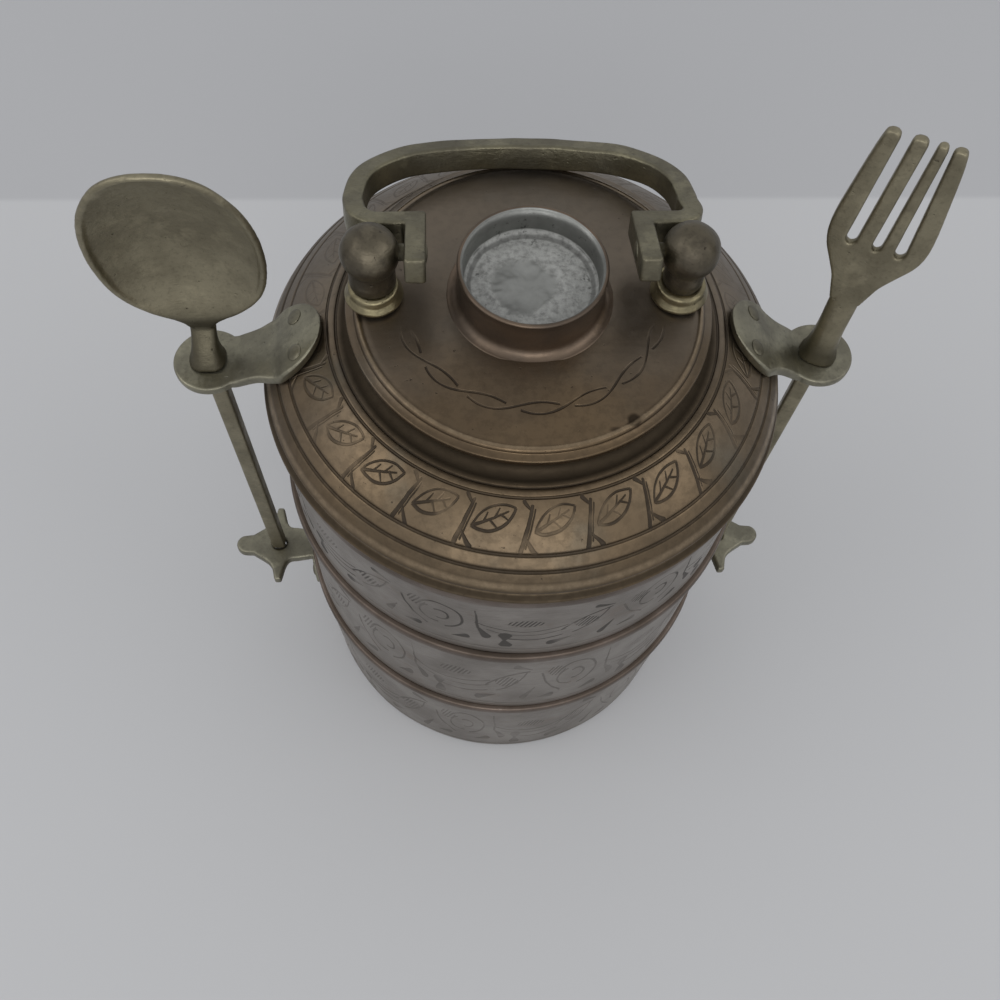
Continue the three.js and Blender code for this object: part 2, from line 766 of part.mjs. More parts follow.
const forkPiece = piece("fork", fork(), fittingBrass);
forkPiece.rotation.z = forkYaw;
const spoonPiece = piece("spoon", spoon(), fittingBrass);
spoonPiece.rotation.z = Math.PI + spoonYaw;
const left = sidePieces(leftSide, spoonPiece);
left.rotation.z = Math.PI;
const rivetedBowl = bowl(0, bottomHeight, false)
  .subtract(bothSides((side) => atPlaces(rivetHole(lugRivetGrip), lugRivets(side))));
const carrier = new THREE.Group();
carrier.add(
  piece("bottom_bowl", rivetedBowl, tinnedCopper),
  piece("middle_bowl", bowl(middleSeat, middleHeight, true), tinnedCopper),
  piece("top_bowl", bowl(topSeat, topHeight, true, topRimProud), tinnedCopper),
  piece("lid_shoulder", lidShoulder(), lidCopper),
  piece("lid_cap", cap(), lidCopper),
  piece("lid_cup", cup(), cupTin),
  sidePieces(rightSide, forkPiece),
  left,
  bailPieces(),
);

export default carrier;
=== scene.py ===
"""Looks of the tiffin carrier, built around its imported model.

Three tinned bowls, an engraved copper lid with a cap and a cup on it, and cast brass fittings:
ball posts, a bail, brackets, lugs, a spoon and a fork. Lengths are in millimetres until a mesh
is made, +Z is up, and the origin is the centre of the face it stands on.
"""

import functools
import math

import bmesh
import bpy
import numpy as np
from mathutils import Matrix, Vector, noise
from mathutils.geometry import delaunay_2d_cdt


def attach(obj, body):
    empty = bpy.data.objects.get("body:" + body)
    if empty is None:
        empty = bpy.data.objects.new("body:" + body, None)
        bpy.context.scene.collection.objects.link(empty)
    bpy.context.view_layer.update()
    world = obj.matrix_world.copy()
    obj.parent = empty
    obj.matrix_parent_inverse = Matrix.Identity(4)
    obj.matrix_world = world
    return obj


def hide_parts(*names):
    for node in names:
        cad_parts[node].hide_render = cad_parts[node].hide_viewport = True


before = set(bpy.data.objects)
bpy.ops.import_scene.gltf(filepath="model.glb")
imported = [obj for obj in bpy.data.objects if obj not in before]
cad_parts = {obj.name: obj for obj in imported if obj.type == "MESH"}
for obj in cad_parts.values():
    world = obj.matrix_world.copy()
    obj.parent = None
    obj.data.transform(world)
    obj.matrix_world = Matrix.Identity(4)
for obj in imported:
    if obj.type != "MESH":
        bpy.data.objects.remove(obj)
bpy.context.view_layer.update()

MM = 0.001
GAP = 0.3
ROUND_STEPS = 224
SMALL_STEPS = 64

# Bowls
BOWL_RADIUS = 68.0
BOWL_SHEET = 1.5
FOOT_RADIUS = 66.1
FOOT_DEPTH = 6.0
RIM_HEIGHT = 4.4
TIERS = [
    ("bottom", 0.0, 61.0, 1.7),
    ("middle", 61.3, 118.1, 1.7),
    ("top", 118.4, 162.0, 1.2),
]

# Lid
LID_SEAT = 162.3
EDGE_RADIUS = 70.0
EDGE_TOP = 166.3
SLOPE_START = 69.4
LEDGE_RADIUS = 50.0
LEDGE_TOP = 183.9
SHOULDER_POWER = 1.25
NECK_RADIUS = 43.6
NECK_TOP = 190.4
LID_SHEET = 1.4
SKIRT_DEPTH = 7.0

# Cap and cup
CAP_UNDER = 190.7
CAP_TOP = 193.6
CAP_RADIUS = 45.5
CAP_FLAT_RADIUS = 20.0
CAP_EDGE_TOP = 192.2
CUP_RADIUS = 17.9
CUP_TOP = 205.1
CUP_FLOOR = 196.5
CUP_LIP = 17.25
DENT = (22.6, -35.3)

# Posts and bail
POSTS_ASIDE = -0.7
SIDE_ASIDE = 1.8
FORWARD = 3.0
POST_X = 37.4
PIVOT_HEIGHT = 209.5
BALL_RADIUS = 7.0
COLUMN_RADIUS = 4.6
POST_COLLARS = {"left": 5.6, "right": 4.9}
BAIL_WIDTH = 6.6
BAIL_THICKNESS = 5.0
TAB_X = 26.9
BAIL_REACH = 45.2
BAIL_HALF_SPAN = 40.5
TIPPED = Matrix.Rotation(math.radians(-16.92), 4, "X")
BAIL_ARCH = [
    (1, 0.38), (1, 0.46), (0.973, 0.63), (0.896, 0.76), (0.75, 0.874), (0.58, 0.942),
    (0.29, 0.987), (0, 1),
]

# Brackets, lugs, spoon and fork
SHAFT_X = 80.3
BRACKET_INNER = 51.8
BRACKET_END_TOP = 171.2
BRACKET_THICKNESS = 2.6
LUG_TOP = 52.5
SHAFT_SIDE = 4.6
CUTLERY_FOOT = 171.5


# Meshes

def made(name, points, faces):
    """A smooth-shaded object of points in millimetres."""
    mesh = bpy.data.meshes.new(name)
    mesh.from_pydata([tuple(float(v) * MM for v in p) for p in points], [], faces)
    mesh.validate()
    work = bmesh.new()
    work.from_mesh(mesh)
    bmesh.ops.recalc_face_normals(work, faces=work.faces)
    work.to_mesh(mesh)
    work.free()
    mesh.shade_smooth()
    piece = bpy.data.objects.new(name, mesh)
    bpy.context.scene.collection.objects.link(piece)
    return piece


def fitted(piece, body, node):
    """Rides a piece on a body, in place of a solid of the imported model."""
    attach(piece, body)
    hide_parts(node)
    return piece


def moved(x, y, z):
    """A shift by lengths in millimetres."""
    return Matrix.Translation(Vector((x, y, z)) * MM)


def belt(first, second, count):
    """Faces between two closed rings of as many points, told by each ring's first point."""
    return [
        (first + i, first + (i + 1) % count, second + (i + 1) % count, second + i)
        for i in range(count)
    ]


def arc(centre, radius, start, end, steps):
    """Points on an arc, from one angle to another in degrees."""
    angles = np.radians(np.linspace(start, end, steps + 1))
    return [(centre[0] + radius * math.cos(a), centre[1] + radius * math.sin(a)) for a in angles]


def softened(points, closed=True, steps=4, stay=0.3):
    """A run of (x, y, corner radius) with its corners rounded and a point kept near each arc."""
    result = []
    count = len(points)
    for i, (x, y, radius) in enumerate(points):
        here = np.array([x, y])
        if radius <= 0 or (not closed and i in (0, count - 1)):
            result.append(here)
            continue
        before = np.array(points[i - 1][:2]) - here
        after = np.array(points[(i + 1) % count][:2]) - here
        reach_before, reach_after = np.linalg.norm(before), np.linalg.norm(after)
        before, after = before / reach_before, after / reach_after
        half = math.acos(np.clip(before @ after, -1, 1)) / 2
        if math.pi / 2 - half < 0.02:
            result.append(here)
            continue
        cut = min(radius / math.tan(half), reach_before * 0.48, reach_after * 0.48)
        radius = cut * math.tan(half)
        middle = (before + after) / np.linalg.norm(before + after)
        centre = here + middle * math.hypot(cut, radius)
        start, end = here + before * cut, here + after * cut
        if reach_before * 0.5 - cut > stay:
            result.append(start + before * stay)
        first, last = (np.arctan2(*(p - centre)[::-1]) for p in (start, end))
        sweep = (last - first + math.pi) % (2 * math.pi) - math.pi
        for k in range(steps + 1):
            angle = first + sweep * k / steps
            result.append(centre + radius * np.array([math.cos(angle), math.sin(angle)]))
        if reach_after * 0.5 - cut > stay:
            result.append(end + after * stay)
    return [(float(x), float(y)) for x, y in result]


def turned(name, outline, steps=ROUND_STEPS, centre=(0.0, 0.0)):
    """A closed outline of (radius, height), spun about Z. It may start and end on the axis."""
    points, rings, faces = [], [], []
    for radius, height in outline:
        if radius < 1e-6:
            rings.append([len(points)])
            points.append((centre[0], centre[1], height))
            continue
        rings.append(list(range(len(points), len(points) + steps)))
        for i in range(steps):
            angle = 2 * math.pi * i / steps
            points.append((
                centre[0] + radius * math.cos(angle), centre[1] + radius * math.sin(angle), height,
            ))
    pairs = list(zip(rings, rings[1:]))
    if len(rings[0]) > 1:
        pairs.append((rings[-1], rings[0]))
    for low, high in pairs:
        if len(low) > 1 and len(high) > 1:
            faces += belt(low[0], high[0], steps)
        elif len(low) > 1:
            faces += [(low[i], low[(i + 1) % steps], high[0]) for i in range(steps)]
        else:
            faces += [(low[0], high[(i + 1) % steps], high[i]) for i in range(steps)]
    return made(name, points, faces)


def within(points, loop):
    """Which points lie inside a closed loop."""
    x, y = np.asarray(points, float).T
    inside = np.zeros(len(x), bool)
    for (x0, y0), (x1, y1) in zip(loop, loop[1:] + loop[:1]):
        crosses = (y0 > y) != (y1 > y)
        if crosses.any():
            inside ^= crosses & (x < (x1 - x0) * (y - y0) / (y1 - y0 + 1e-12) + x0)
    return inside


def shifted(line, distance, closed=False):
    """A run of points moved to its left, which is inwards in a loop that runs anticlockwise."""
    ring = np.array(line, float)
    ways = np.roll(ring, -1, 0) - ring
    if not closed:
        ways[-1] = ways[-2]
    ways /= np.linalg.norm(ways, axis=1)[:, None]
    before = np.roll(ways, 1, 0)
    if not closed:
        before[0] = ways[0]
    mitre = distance / (1 + (before * ways).sum(1).clip(-0.6))
    across = np.stack([-(before + ways)[:, 1], (before + ways)[:, 0]], 1)
    return [tuple(p) for p in ring + across * mitre[:, None]]


def wound(loop, sense):
    """A closed loop that runs anticlockwise for a sense of 1 and clockwise for -1."""
    x, y = np.array(loop).T
    area = (x * np.roll(y, -1) - y * np.roll(x, -1)).sum()
    return loop if area * sense > 0 else loop[::-1]


def plate(name, outline, place, thickness, edge, holes=(), grid=0.0):
    """A plate with rounded edges. place turns (x, y, depth under its top) into a point."""
    outline, holes = wound(outline, 1), [wound(hole, -1) for hole in holes]
    rounds = np.radians(np.linspace(0, 90, 5))
    border = edge + 0.35
    rows = [(border, 0.0)]
    rows += [(edge * (1 - math.sin(a)), edge * (1 - math.cos(a))) for a in rounds]
    rows += [(inwards, thickness - depth) for inwards, depth in reversed(rows)]
    points, faces, ends = [], [], [[], []]
    for loop in [outline, *holes]:
        first = len(points)
        for inwards, depth in rows:
            points += [place(x, y, depth) for x, y in shifted(loop, inwards, True)]
        count = len(loop)
        last = first + (len(rows) - 1) * count
        for start in range(first, last, count):
            faces += belt(start, start + count, count)
        rim = shifted(loop, border, True)
        ends[0].append((first, rim))
        ends[1].append((last, rim))
    for side, depth in ((0, 0.0), (1, thickness)):
        flat, known, borders = [], [], []
        for first, loop in ends[side]:
            start = len(flat)
            flat += loop
            known += range(first, first + len(loop))
            borders += [(start + i, start + (i + 1) % len(loop)) for i in range(len(loop))]
        if grid > 0:
            low, high = np.min(flat, 0), np.max(flat, 0)
            spots = np.stack(np.meshgrid(
                np.arange(low[0] + grid / 2, high[0], grid),
                np.arange(low[1] + grid / 2, high[1], grid),
            ), -1).reshape(-1, 2)
            clear = border + grid * 0.4
            kept = within(spots, shifted(outline, clear, True))
            for hole in holes:
                kept &= ~within(spots, shifted(hole[::-1], -clear, True))
            for x, y in spots[kept]:
                known.append(len(points))
                points.append(place(x, y, depth))
                flat.append((x, y))
        spread = delaunay_2d_cdt([Vector(p) for p in flat], borders, [], 0, 1e-6)
        which = []
        for (x, y), orig in zip(spread[0], spread[3]):
            which.append(known[orig[0]] if orig else len(points))
            if not orig:
                points.append(place(x, y, depth))
        middles = [np.mean([spread[0][i] for i in face], 0) for face in spread[2]]
        kept = within(middles, ends[side][0][1])
        for _, loop in ends[side][1:]:
            kept &= ~within(middles, loop)
        faces += [tuple(which[i] for i in face) for face, ok in zip(spread[2], kept) if ok]
    return made(name, points, faces)


def smooth_run(points, steps):
    """A smooth open run through a few points."""
    ring = np.array(points, float)
    ring = np.vstack([2 * ring[0] - ring[1], ring, 2 * ring[-1] - ring[-2]])
    result = []
    spans = len(points) - 1
    for k in range(steps + 1):
        place = min(k * spans / steps, spans - 1e-9)
        i = int(place)
        t = place - i
        a, b, c, d = ring[i:i + 4]
        result.append(tuple(0.5 * (
            2 * b + (c - a) * t + (2 * a - 5 * b + 4 * c - d) * t ** 2
            + (3 * b - a - 3 * c + d) * t ** 3
        )))
    return result


def lofted(sections):
    """Points and faces of a skin through sections with as many points each, closed at its ends."""
    around = len(sections[0])
    points = [p for section in sections for p in section]
    last = len(points) - around
    faces = [face for row in range(0, last, around) for face in belt(row, row + around, around)]
    faces += [tuple(range(around)), tuple(range(last, len(points)))]
    return points, faces


def cast(name, shells, voxel=0.42, smoothing=3, move=Matrix.Identity(4)):
    """Several closed shells melted into one casting with soft edges."""
    points, faces = [], []
    for shell_points, shell_faces in shells:
        start = len(points)
        points += shell_points
        faces += [tuple(start + i for i in face) for face in shell_faces]
    piece = made(name, points, faces)
    remesh = piece.modifiers.new("melt", "REMESH")
    remesh.mode = "VOXEL"
    remesh.voxel_size = voxel * MM
    ease = piece.modifiers.new("ease", "SMOOTH")
    ease.factor = 0.5
    ease.iterations = smoothing
    graph = bpy.context.evaluated_depsgraph_get()
    mesh = bpy.data.meshes.new_from_object(piece.evaluated_get(graph))
    piece.modifiers.clear()
    piece.data = mesh
    mesh.transform(move)
    mesh.shade_smooth()
    return piece


def shell_of(piece):
    """The points and faces of an object in millimetres. The object is used up."""
    points = [tuple(v.co / MM) for v in piece.data.vertices]
    faces = [tuple(face.vertices) for face in piece.data.polygons]
    bpy.data.objects.remove(piece)
    return points, faces


def nudged(piece, change):
    """Moves each vertex by what a function of its place in millimetres says."""
    for vertex in piece.data.vertices:
        vertex.co += Vector(change(vertex.co / MM)) * MM
    return piece


def wander(place, size, seed=0.0):
    """Smooth noise about zero, over features of a size in millimetres."""
    return noise.noise(Vector(place) / size + Vector((seed, seed * 0.7, -seed)))


# Bowls

def notch(radius, height, depth=0.3, half=0.4):
    """An engraved ring in a wall's outline, met from below."""
    return [(radius, height - half), (radius - depth, height), (radius, height + half)]


def bowl(tier, seat, top, proud):
    nested = tier != "bottom"
    low = FOOT_RADIUS if nested else BOWL_RADIUS
    floor = seat - FOOT_DEPTH if nested else seat
    half = RIM_HEIGHT / 2
    foot = [(0, floor, 0), (low, floor, 3.0)]
    if nested:
        foot += [(low, seat, 0.2), (BOWL_RADIUS, seat, 0.6)]
    outline = softened([*foot, (BOWL_RADIUS, seat + 3.2, 0)], closed=False)
    wall_end = top - RIM_HEIGHT - 1.0
    outline += notch(BOWL_RADIUS, seat + 4.2)
    outline += [(BOWL_RADIUS, z) for z in np.linspace(seat + 5.2, wall_end - 1.6, 14)]
    outline += notch(BOWL_RADIUS, wall_end - 0.8)
    outline += [(BOWL_RADIUS, wall_end), (BOWL_RADIUS - 0.25, top - RIM_HEIGHT - 0.1)]
    outline += [
        (BOWL_RADIUS + proud * max(x / half, 0.0) ** 0.35, z)
        for x, z in arc((0, top - half), half, -80, 90, 24)
    ]
    inner = BOWL_RADIUS - BOWL_SHEET
    step, ground = seat + BOWL_SHEET, floor + BOWL_SHEET
    inside = [(inner, top, 0)]
    if nested:
        inside += [(inner, step, 0.5), (low - BOWL_SHEET, step - GAP, 0.4)]
    inside += [(low - BOWL_SHEET, ground, 2.0), (0, ground, 0)]
    outline += softened(inside, closed=False)
    piece = turned(f"{tier}_bowl_shell", outline)

    def settle(place):
        radius = math.hypot(place.x, place.y)
        if radius < low - 3:
            return (0, 0, 0)
        push = min(-0.12 + 0.2 * wander(place, 24, seat), 0.0)
        if not nested:
            push -= 0.9 * max(0.0, 1 - place.z / 30)
        return (place.x / radius * push, place.y / radius * push, 0)

    return fitted(nudged(piece, settle), f"{tier}_tier", f"{tier}_bowl")


# Lid

def shoulder_point(share):
    rise = (1 - share ** SHOULDER_POWER) ** (1 / SHOULDER_POWER)
    return (
        LEDGE_RADIUS + (SLOPE_START - LEDGE_RADIUS) * share,
        EDGE_TOP + (LEDGE_TOP - EDGE_TOP) * rise,
    )


BAND_OUTER = 62.1
BAND_INNER = 50.9
LID_RINGS = [(65.1, 0.32), (BAND_OUTER, 0.3), (BAND_INNER, 0.22)]
LEDGE_RING = 48.5
LEDGE_INNER = 46.8


def lid_shell():
    slope = [shoulder_point(share) for share in np.linspace(0.875, 0.0, 150)]
    lip = arc((EDGE_RADIUS - 1.3, LID_SEAT + 1.2), 0.9, -80, 60, 8)
    roll = arc((EDGE_RADIUS - 2.5, LID_SEAT + 4.9), 1.0, -75, 30, 12)
    ways = np.gradient(np.array(slope), axis=0)
    ways /= np.linalg.norm(ways, axis=1)[:, None]
    cut = [sum(d * math.exp(-((r - ring) / 0.3) ** 2) for ring, d in LID_RINGS) for r, _ in slope]
    slope = [
        (r - way[1] * depth, z + way[0] * depth) for (r, z), way, depth in zip(slope, ways, cut)
    ]
    hollow = LEDGE_INNER - NECK_RADIUS
    neck = arc((LEDGE_INNER, LEDGE_TOP + hollow), hollow, -90, -180, 12)
    inside = [shoulder_point(share) for share in np.linspace(0.0, 0.95, 24)]
    line = [
        (FOOT_RADIUS, LID_SEAT - SKIRT_DEPTH), (FOOT_RADIUS, LID_SEAT), (68.4, LID_SEAT),
        *lip, (EDGE_RADIUS - 1.9, LID_SEAT + 3.3), (EDGE_RADIUS - 2.3, LID_SEAT + 3.8),
        *roll, *slope, (LEDGE_RING + 0.3, LEDGE_TOP), (LEDGE_RING, LEDGE_TOP - 0.15),
        (LEDGE_RING - 0.3, LEDGE_TOP), *neck,
        (NECK_RADIUS, NECK_TOP), (NECK_RADIUS - 1.8, NECK_TOP),
        *[(x - LID_SHEET * 0.9, y) for x, y in neck[::-1]],
        *shifted(inside, -LID_SHEET),
        (FOOT_RADIUS - LID_SHEET, LID_SEAT + 0.8),
        (FOOT_RADIUS - LID_SHEET, LID_SEAT - SKIRT_DEPTH),
    ]
    piece = turned("lid_shoulder_shell", line)

    def settle(place):
        sink = 0.25 * wander(place, 30, 4.0) + 0.05 * wander(place, 7, 9.0)
        return (0, 0, sink if place.z > 167.5 else 0)

    return fitted(nudged(piece, settle), "lid", "lid_shoulder")


def cap_shell():
    def dome(radius):
        lift = max(0.0, (radius - CAP_FLAT_RADIUS) / (CAP_RADIUS - 1 - CAP_FLAT_RADIUS))
        return CAP_TOP - (CAP_TOP - CAP_EDGE_TOP) * lift ** 2

    top = [(r, dome(r)) for r in np.linspace(0, 41.2, 40)]
    bead = arc((CAP_RADIUS - 3.1, CAP_EDGE_TOP - 0.75), 1.1, 115, 5, 12)
    lip = arc((CAP_RADIUS - 0.5, CAP_EDGE_TOP - 1.55), 0.5, 80, -20, 6)
    outline = [
        *top, (41.55, dome(41.55) - 0.14), *bead, (43.65, CAP_EDGE_TOP - 0.98), *lip,
        (CAP_RADIUS - 0.15, CAP_UNDER - 0.6), (CAP_RADIUS, CAP_UNDER - 1.1),
        (45.0, CAP_UNDER - 1.5), (NECK_RADIUS + GAP, CAP_UNDER - 1.5),
        (NECK_RADIUS + GAP, CAP_UNDER), (NECK_RADIUS - 1.8, CAP_UNDER),
        *[(r, z - 1.5) for r, z in top[36:0:-6]], (0, CAP_TOP - 1.5),
    ]
    piece = turned("lid_cap_shell", outline)

    def settle(place):
        share = min(1.0, max(0.0, (place.z - CAP_EDGE_TOP + 1.3) / 0.8))
        near = (Vector((place.x, place.y)) - Vector(DENT)).length
        sink = 0.22 * wander(place, 22, 1.0) - 0.1 - 0.7 * math.exp(-(near / 1.3) ** 2)
        return (0, 0, sink * share)

    return fitted(nudged(piece, settle), "lid", "lid_cap")


def cup_shell():
    foot = arc((20.5, 196.1), 2.6, -90, -180, 10)
    inside = [
        (16.85, CUP_TOP - 0.5), (16.6, 202), (16.5, 200), (16.4, 198.8),
        *arc((14.3, 198.6), 2.1, 0, -90, 6),
    ]
    outline = [
        (0, 193.3), (20.7, 193.3), *foot, (CUP_RADIUS, 199), (CUP_RADIUS, 202),
        (CUP_RADIUS + 0.05, 204.2), *arc((17.55, CUP_TOP - 0.6), 0.6, -10, 170, 8), *inside,
        *[(r, CUP_FLOOR) for r in np.linspace(13.6, 0.0, 24)],
    ]
    piece = turned("lid_cup_shell", outline, 160)

    def settle(place):
        radius = math.hypot(place.x, place.y)
        if radius < 16.2 and CUP_FLOOR - 0.2 < place.z < 200:
            crust = 0.5 + 1.6 * wander(place, 5, 2.0) + 0.5 * wander(place, 1.6, 3.0)
            return (0, 0, 0.55 * max(0.0, crust) * min(1.0, radius / 6))
        if place.z > 203.5:
            return (0, 0, 0.12 * wander(place, 6, 5.0) - 0.05)
        return (0, 0, 0)

    return fitted(nudged(piece, settle), "lid", "lid_cup")


# Posts, foot rings and pivot pins

def post(side, x):
    broad = POST_COLLARS[side]
    meet = math.degrees(math.asin(broad / BALL_RADIUS))
    ball = arc((0, PIVOT_HEIGHT), BALL_RADIUS, meet - 90, 90, 28)
    outline = [
        (0, 188.5), (3.3, 188.5), (3.3, 190.4), (2.6, 190.5), (2.6, 193.4),
        (COLUMN_RADIUS, 193.5), (COLUMN_RADIUS, 197),
        (COLUMN_RADIUS, 198.9), (broad - 0.3, 199.1), (broad, 199.5), (broad, 202.0),
        (broad - 0.1, ball[0][1] - 0.6), (broad + 0.1, ball[0][1] + 0.1), *ball[1:-1],
        (0, ball[-1][1]),
    ]
    piece = turned(f"post_{side}_ball", outline, SMALL_STEPS, (x, 0.0))

    def settle(place):
        way = place - Vector((x, 0, PIVOT_HEIGHT))
        if way.z < -BALL_RADIUS:
            return (0, 0, 0)
        return way.normalized() * (0.28 * wander(place, 6, x) - 0.12)

    fitted(nudged(piece, settle), "lid", f"post_{side}")
    outline = softened([
        (COLUMN_RADIUS + 0.1, 193.65, 0), (6.8, 193.65, 0.3), (7.2, 194.7, 0.6),
        (6.3, 196.4, 0.9), (6.1, 198.0, 0.8), (COLUMN_RADIUS + 0.1, 198.6, 0),
    ], steps=5)
    ring = turned(f"post_{side}_foot_ring", outline, SMALL_STEPS, (x, 0.0))
    nudged(ring, lambda place: (0, 0, 0.3 * wander(place, 4, 3.0 + x) - 0.05))
    return piece, fitted(ring, "lid", f"post_ring_{side}")


def pivot_pin(side, sign):
    start = TAB_X - BAIL_THICKNESS / 2
    outline = [
        (0, start - 0.35), (1.2, start - 0.3), (2.4, start - 0.02), (2.4, start + 0.05),
        (2.0, start + 0.1), (2.0, start + 10.4), (1.8, start + 10.6), (0, start + 10.6),
    ]
    piece = turned(f"bail_pin_{side}", outline, 32)
    across = Matrix.Rotation(sign * math.pi / 2, 4, "Y")
    piece.data.transform(moved(POSTS_ASIDE, 0, PIVOT_HEIGHT) @ TIPPED @ across)
    return fitted(piece, "bail", f"pivot_pin_{side}")


# Bail: its outline lies in X and Y, with Y away from the pivots, and is then tipped

def bail():
    corner, offset = 5.0, 10.0
    right = [
        (TAB_X, -8.0), (TAB_X, offset),
        *arc((BAIL_HALF_SPAN - corner, offset + corner), corner, -90, 0, 10),
    ]
    arch = [(x * BAIL_HALF_SPAN, y * BAIL_REACH) for x, y in BAIL_ARCH]
    right += smooth_run(arch, 60)
    line = right + [(-x, y) for x, y in right[-2::-1]]
    line = [(x - 1.3 * min(1.0, max(0.0, (y - offset) / 8)), y) for x, y in line]
    half = BAIL_THICKNESS / 2
    sides = [*shifted(line, -half), *shifted(line, half)[::-1]]
    corners = {0, 1, len(line) - 2, len(line) - 1}
    rounded = [
        (x, y, 0.9 if min(i, len(sides) - 1 - i) in corners else 0)
        for i, (x, y) in enumerate(sides)
    ]
    outline = softened(rounded, stay=0.2)
    tip = Matrix.Translation((POSTS_ASIDE, 0, PIVOT_HEIGHT)) @ TIPPED

    def place(x, y, depth):
        return tip @ Vector((x, y, BAIL_WIDTH / 2 - depth))

    piece = plate("bail_bar", outline, place, BAIL_WIDTH, 0.75, grid=3.0)
    nudged(piece, lambda p: Vector((1, 1, 1)) * (0.16 * wander(p, 9, 6.0)))
    return fitted(piece, "bail", "handle_bail")


# The brackets, lugs, spoon and fork of a side, made on the +X side and turned for the other

SIDES = [
    ("right", -SIDE_ASIDE, -FORWARD, Matrix.Identity(4)),
    ("left", SIDE_ASIDE, FORWARD, Matrix.Rotation(math.pi, 4, "Z")),
]


def mirrored(half):
    """A closed loop of a half outline and its mirror image across the X axis."""
    return half + [(x, -y) for x, y in half[::-1] if y > 1e-6]


def drilled(outline, centre, radius, last, steps, off):
    """An outline and a round hole in it, both moved sideways."""
    hole = arc((centre, 0), radius, 360, last, steps)
    return [(x, y + off) for x, y in outline[::-1]], [(x, y + off) for x, y in hole]


def rivets(kind, side, body, seat, tip, spacing, grip, proud):
    """The two rivets of a bracket or a lug. The seat is a radius and a height."""
    name, _, off, turn = side
    outline = [
        (0, -grip - 0.8), (2.0, -grip - 0.7), (2.3, -grip - 0.3), (1.3, -grip - 0.3),
        (1.3, 0), (2.25, 0), (2.2, proud * 0.4), (1.7, proud * 0.8), (0.9, proud), (0, proud),
    ]
    pair = []
    for i, sign in enumerate((-1, 1), 1):
        aside = Matrix.Rotation((off + sign * spacing / 2) / seat[0], 4, "Z")
        piece = turned(f"{kind}_{name}_rivet_{i}", outline, 28)
        piece.data.transform(
            turn @ (aside @ moved(seat[0], 0, seat[1]) @ Matrix.Rotation(tip, 4, "Y"))
        )
        pair.append(fitted(piece, body, f"{kind}_rivet_{name}_{i}"))
    return pair


def bracket(side):
    name, out, off, turn = side
    centre = SHAFT_X + out
    length = centre - BRACKET_INNER
    waist, pad, end = 7.4, 10.0, 9.4
    meet = math.degrees(math.asin(waist / end))
    flare = [(0.48, 0.5), (0.58, 0.12), (0.7, 0.0)]
    pad_arc = arc((BRACKET_INNER + pad, 0), pad, 180, 85, 22)
    end_arc = arc((centre, 0), end, 180 - meet, 0, 26)
    bend = [pad_arc[-1]]
    bend += [(BRACKET_INNER + x * length, waist + y * (pad - waist)) for x, y in flare]
    bend += [end_arc[0]]
    half = pad_arc[:-1] + smooth_run(bend, 20) + end_arc[1:]
    outline, hole = drilled(mirrored(half), centre, 3.6, 10, 35, off)
    leave, level = BRACKET_INNER + 0.42 * length, BRACKET_INNER + 0.78 * length
    radii = np.arange(44.0, 96.0, 0.1)
    slope = np.array(shifted([shoulder_point(s) for s in np.linspace(0, 1, 90)], GAP))
    under = BRACKET_END_TOP - BRACKET_THICKNESS
    on_slope = slope[slope[:, 0] < leave]
    run = np.vstack([on_slope, [[level, under], [100, under]]])
    heights = np.interp(radii, run[:, 0], run[:, 1])
    spread = np.exp(-np.linspace(-2, 2, 41) ** 2)
    padded = np.pad(heights, 20, mode="edge")
    eased = np.maximum(np.convolve(padded, spread / spread.sum(), "valid"), heights)
    steep = np.sqrt(1 + np.gradient(eased, radii) ** 2)

    def place(x, y, depth):
        radius = math.hypot(x, y)
        base = np.interp(radius, radii, eased)
        thick = (BRACKET_THICKNESS - depth) * np.interp(radius, radii, steep)
        return turn @ Vector((x, y, base + thick))

    piece = plate(
        f"bracket_{name}_plate", outline, place, BRACKET_THICKNESS, 0.6, [hole], grid=1.4,
    )
    nudged(piece, lambda p: (0, 0, 0.12 * wander(p, 8, 2.0)))
    fitted(piece, "lid", f"bracket_{name}")

    share = (BRACKET_INNER + 0.2 * (SHAFT_X - BRACKET_INNER) - LEDGE_RADIUS) / (
        SLOPE_START - LEDGE_RADIUS
    )
    inner, outer = shoulder_point(share - 0.1), shoulder_point(share + 0.1)
    tip = math.atan2(inner[1] - outer[1], outer[0] - inner[0])
    seat = shoulder_point(share)
    rise = BRACKET_THICKNESS + GAP
    seat = (seat[0] + rise * math.sin(tip), seat[1] + rise * math.cos(tip))
    return piece, rivets("bracket", side, "lid", seat, tip, 10.8, BRACKET_THICKNESS + 1.7, 0.4)


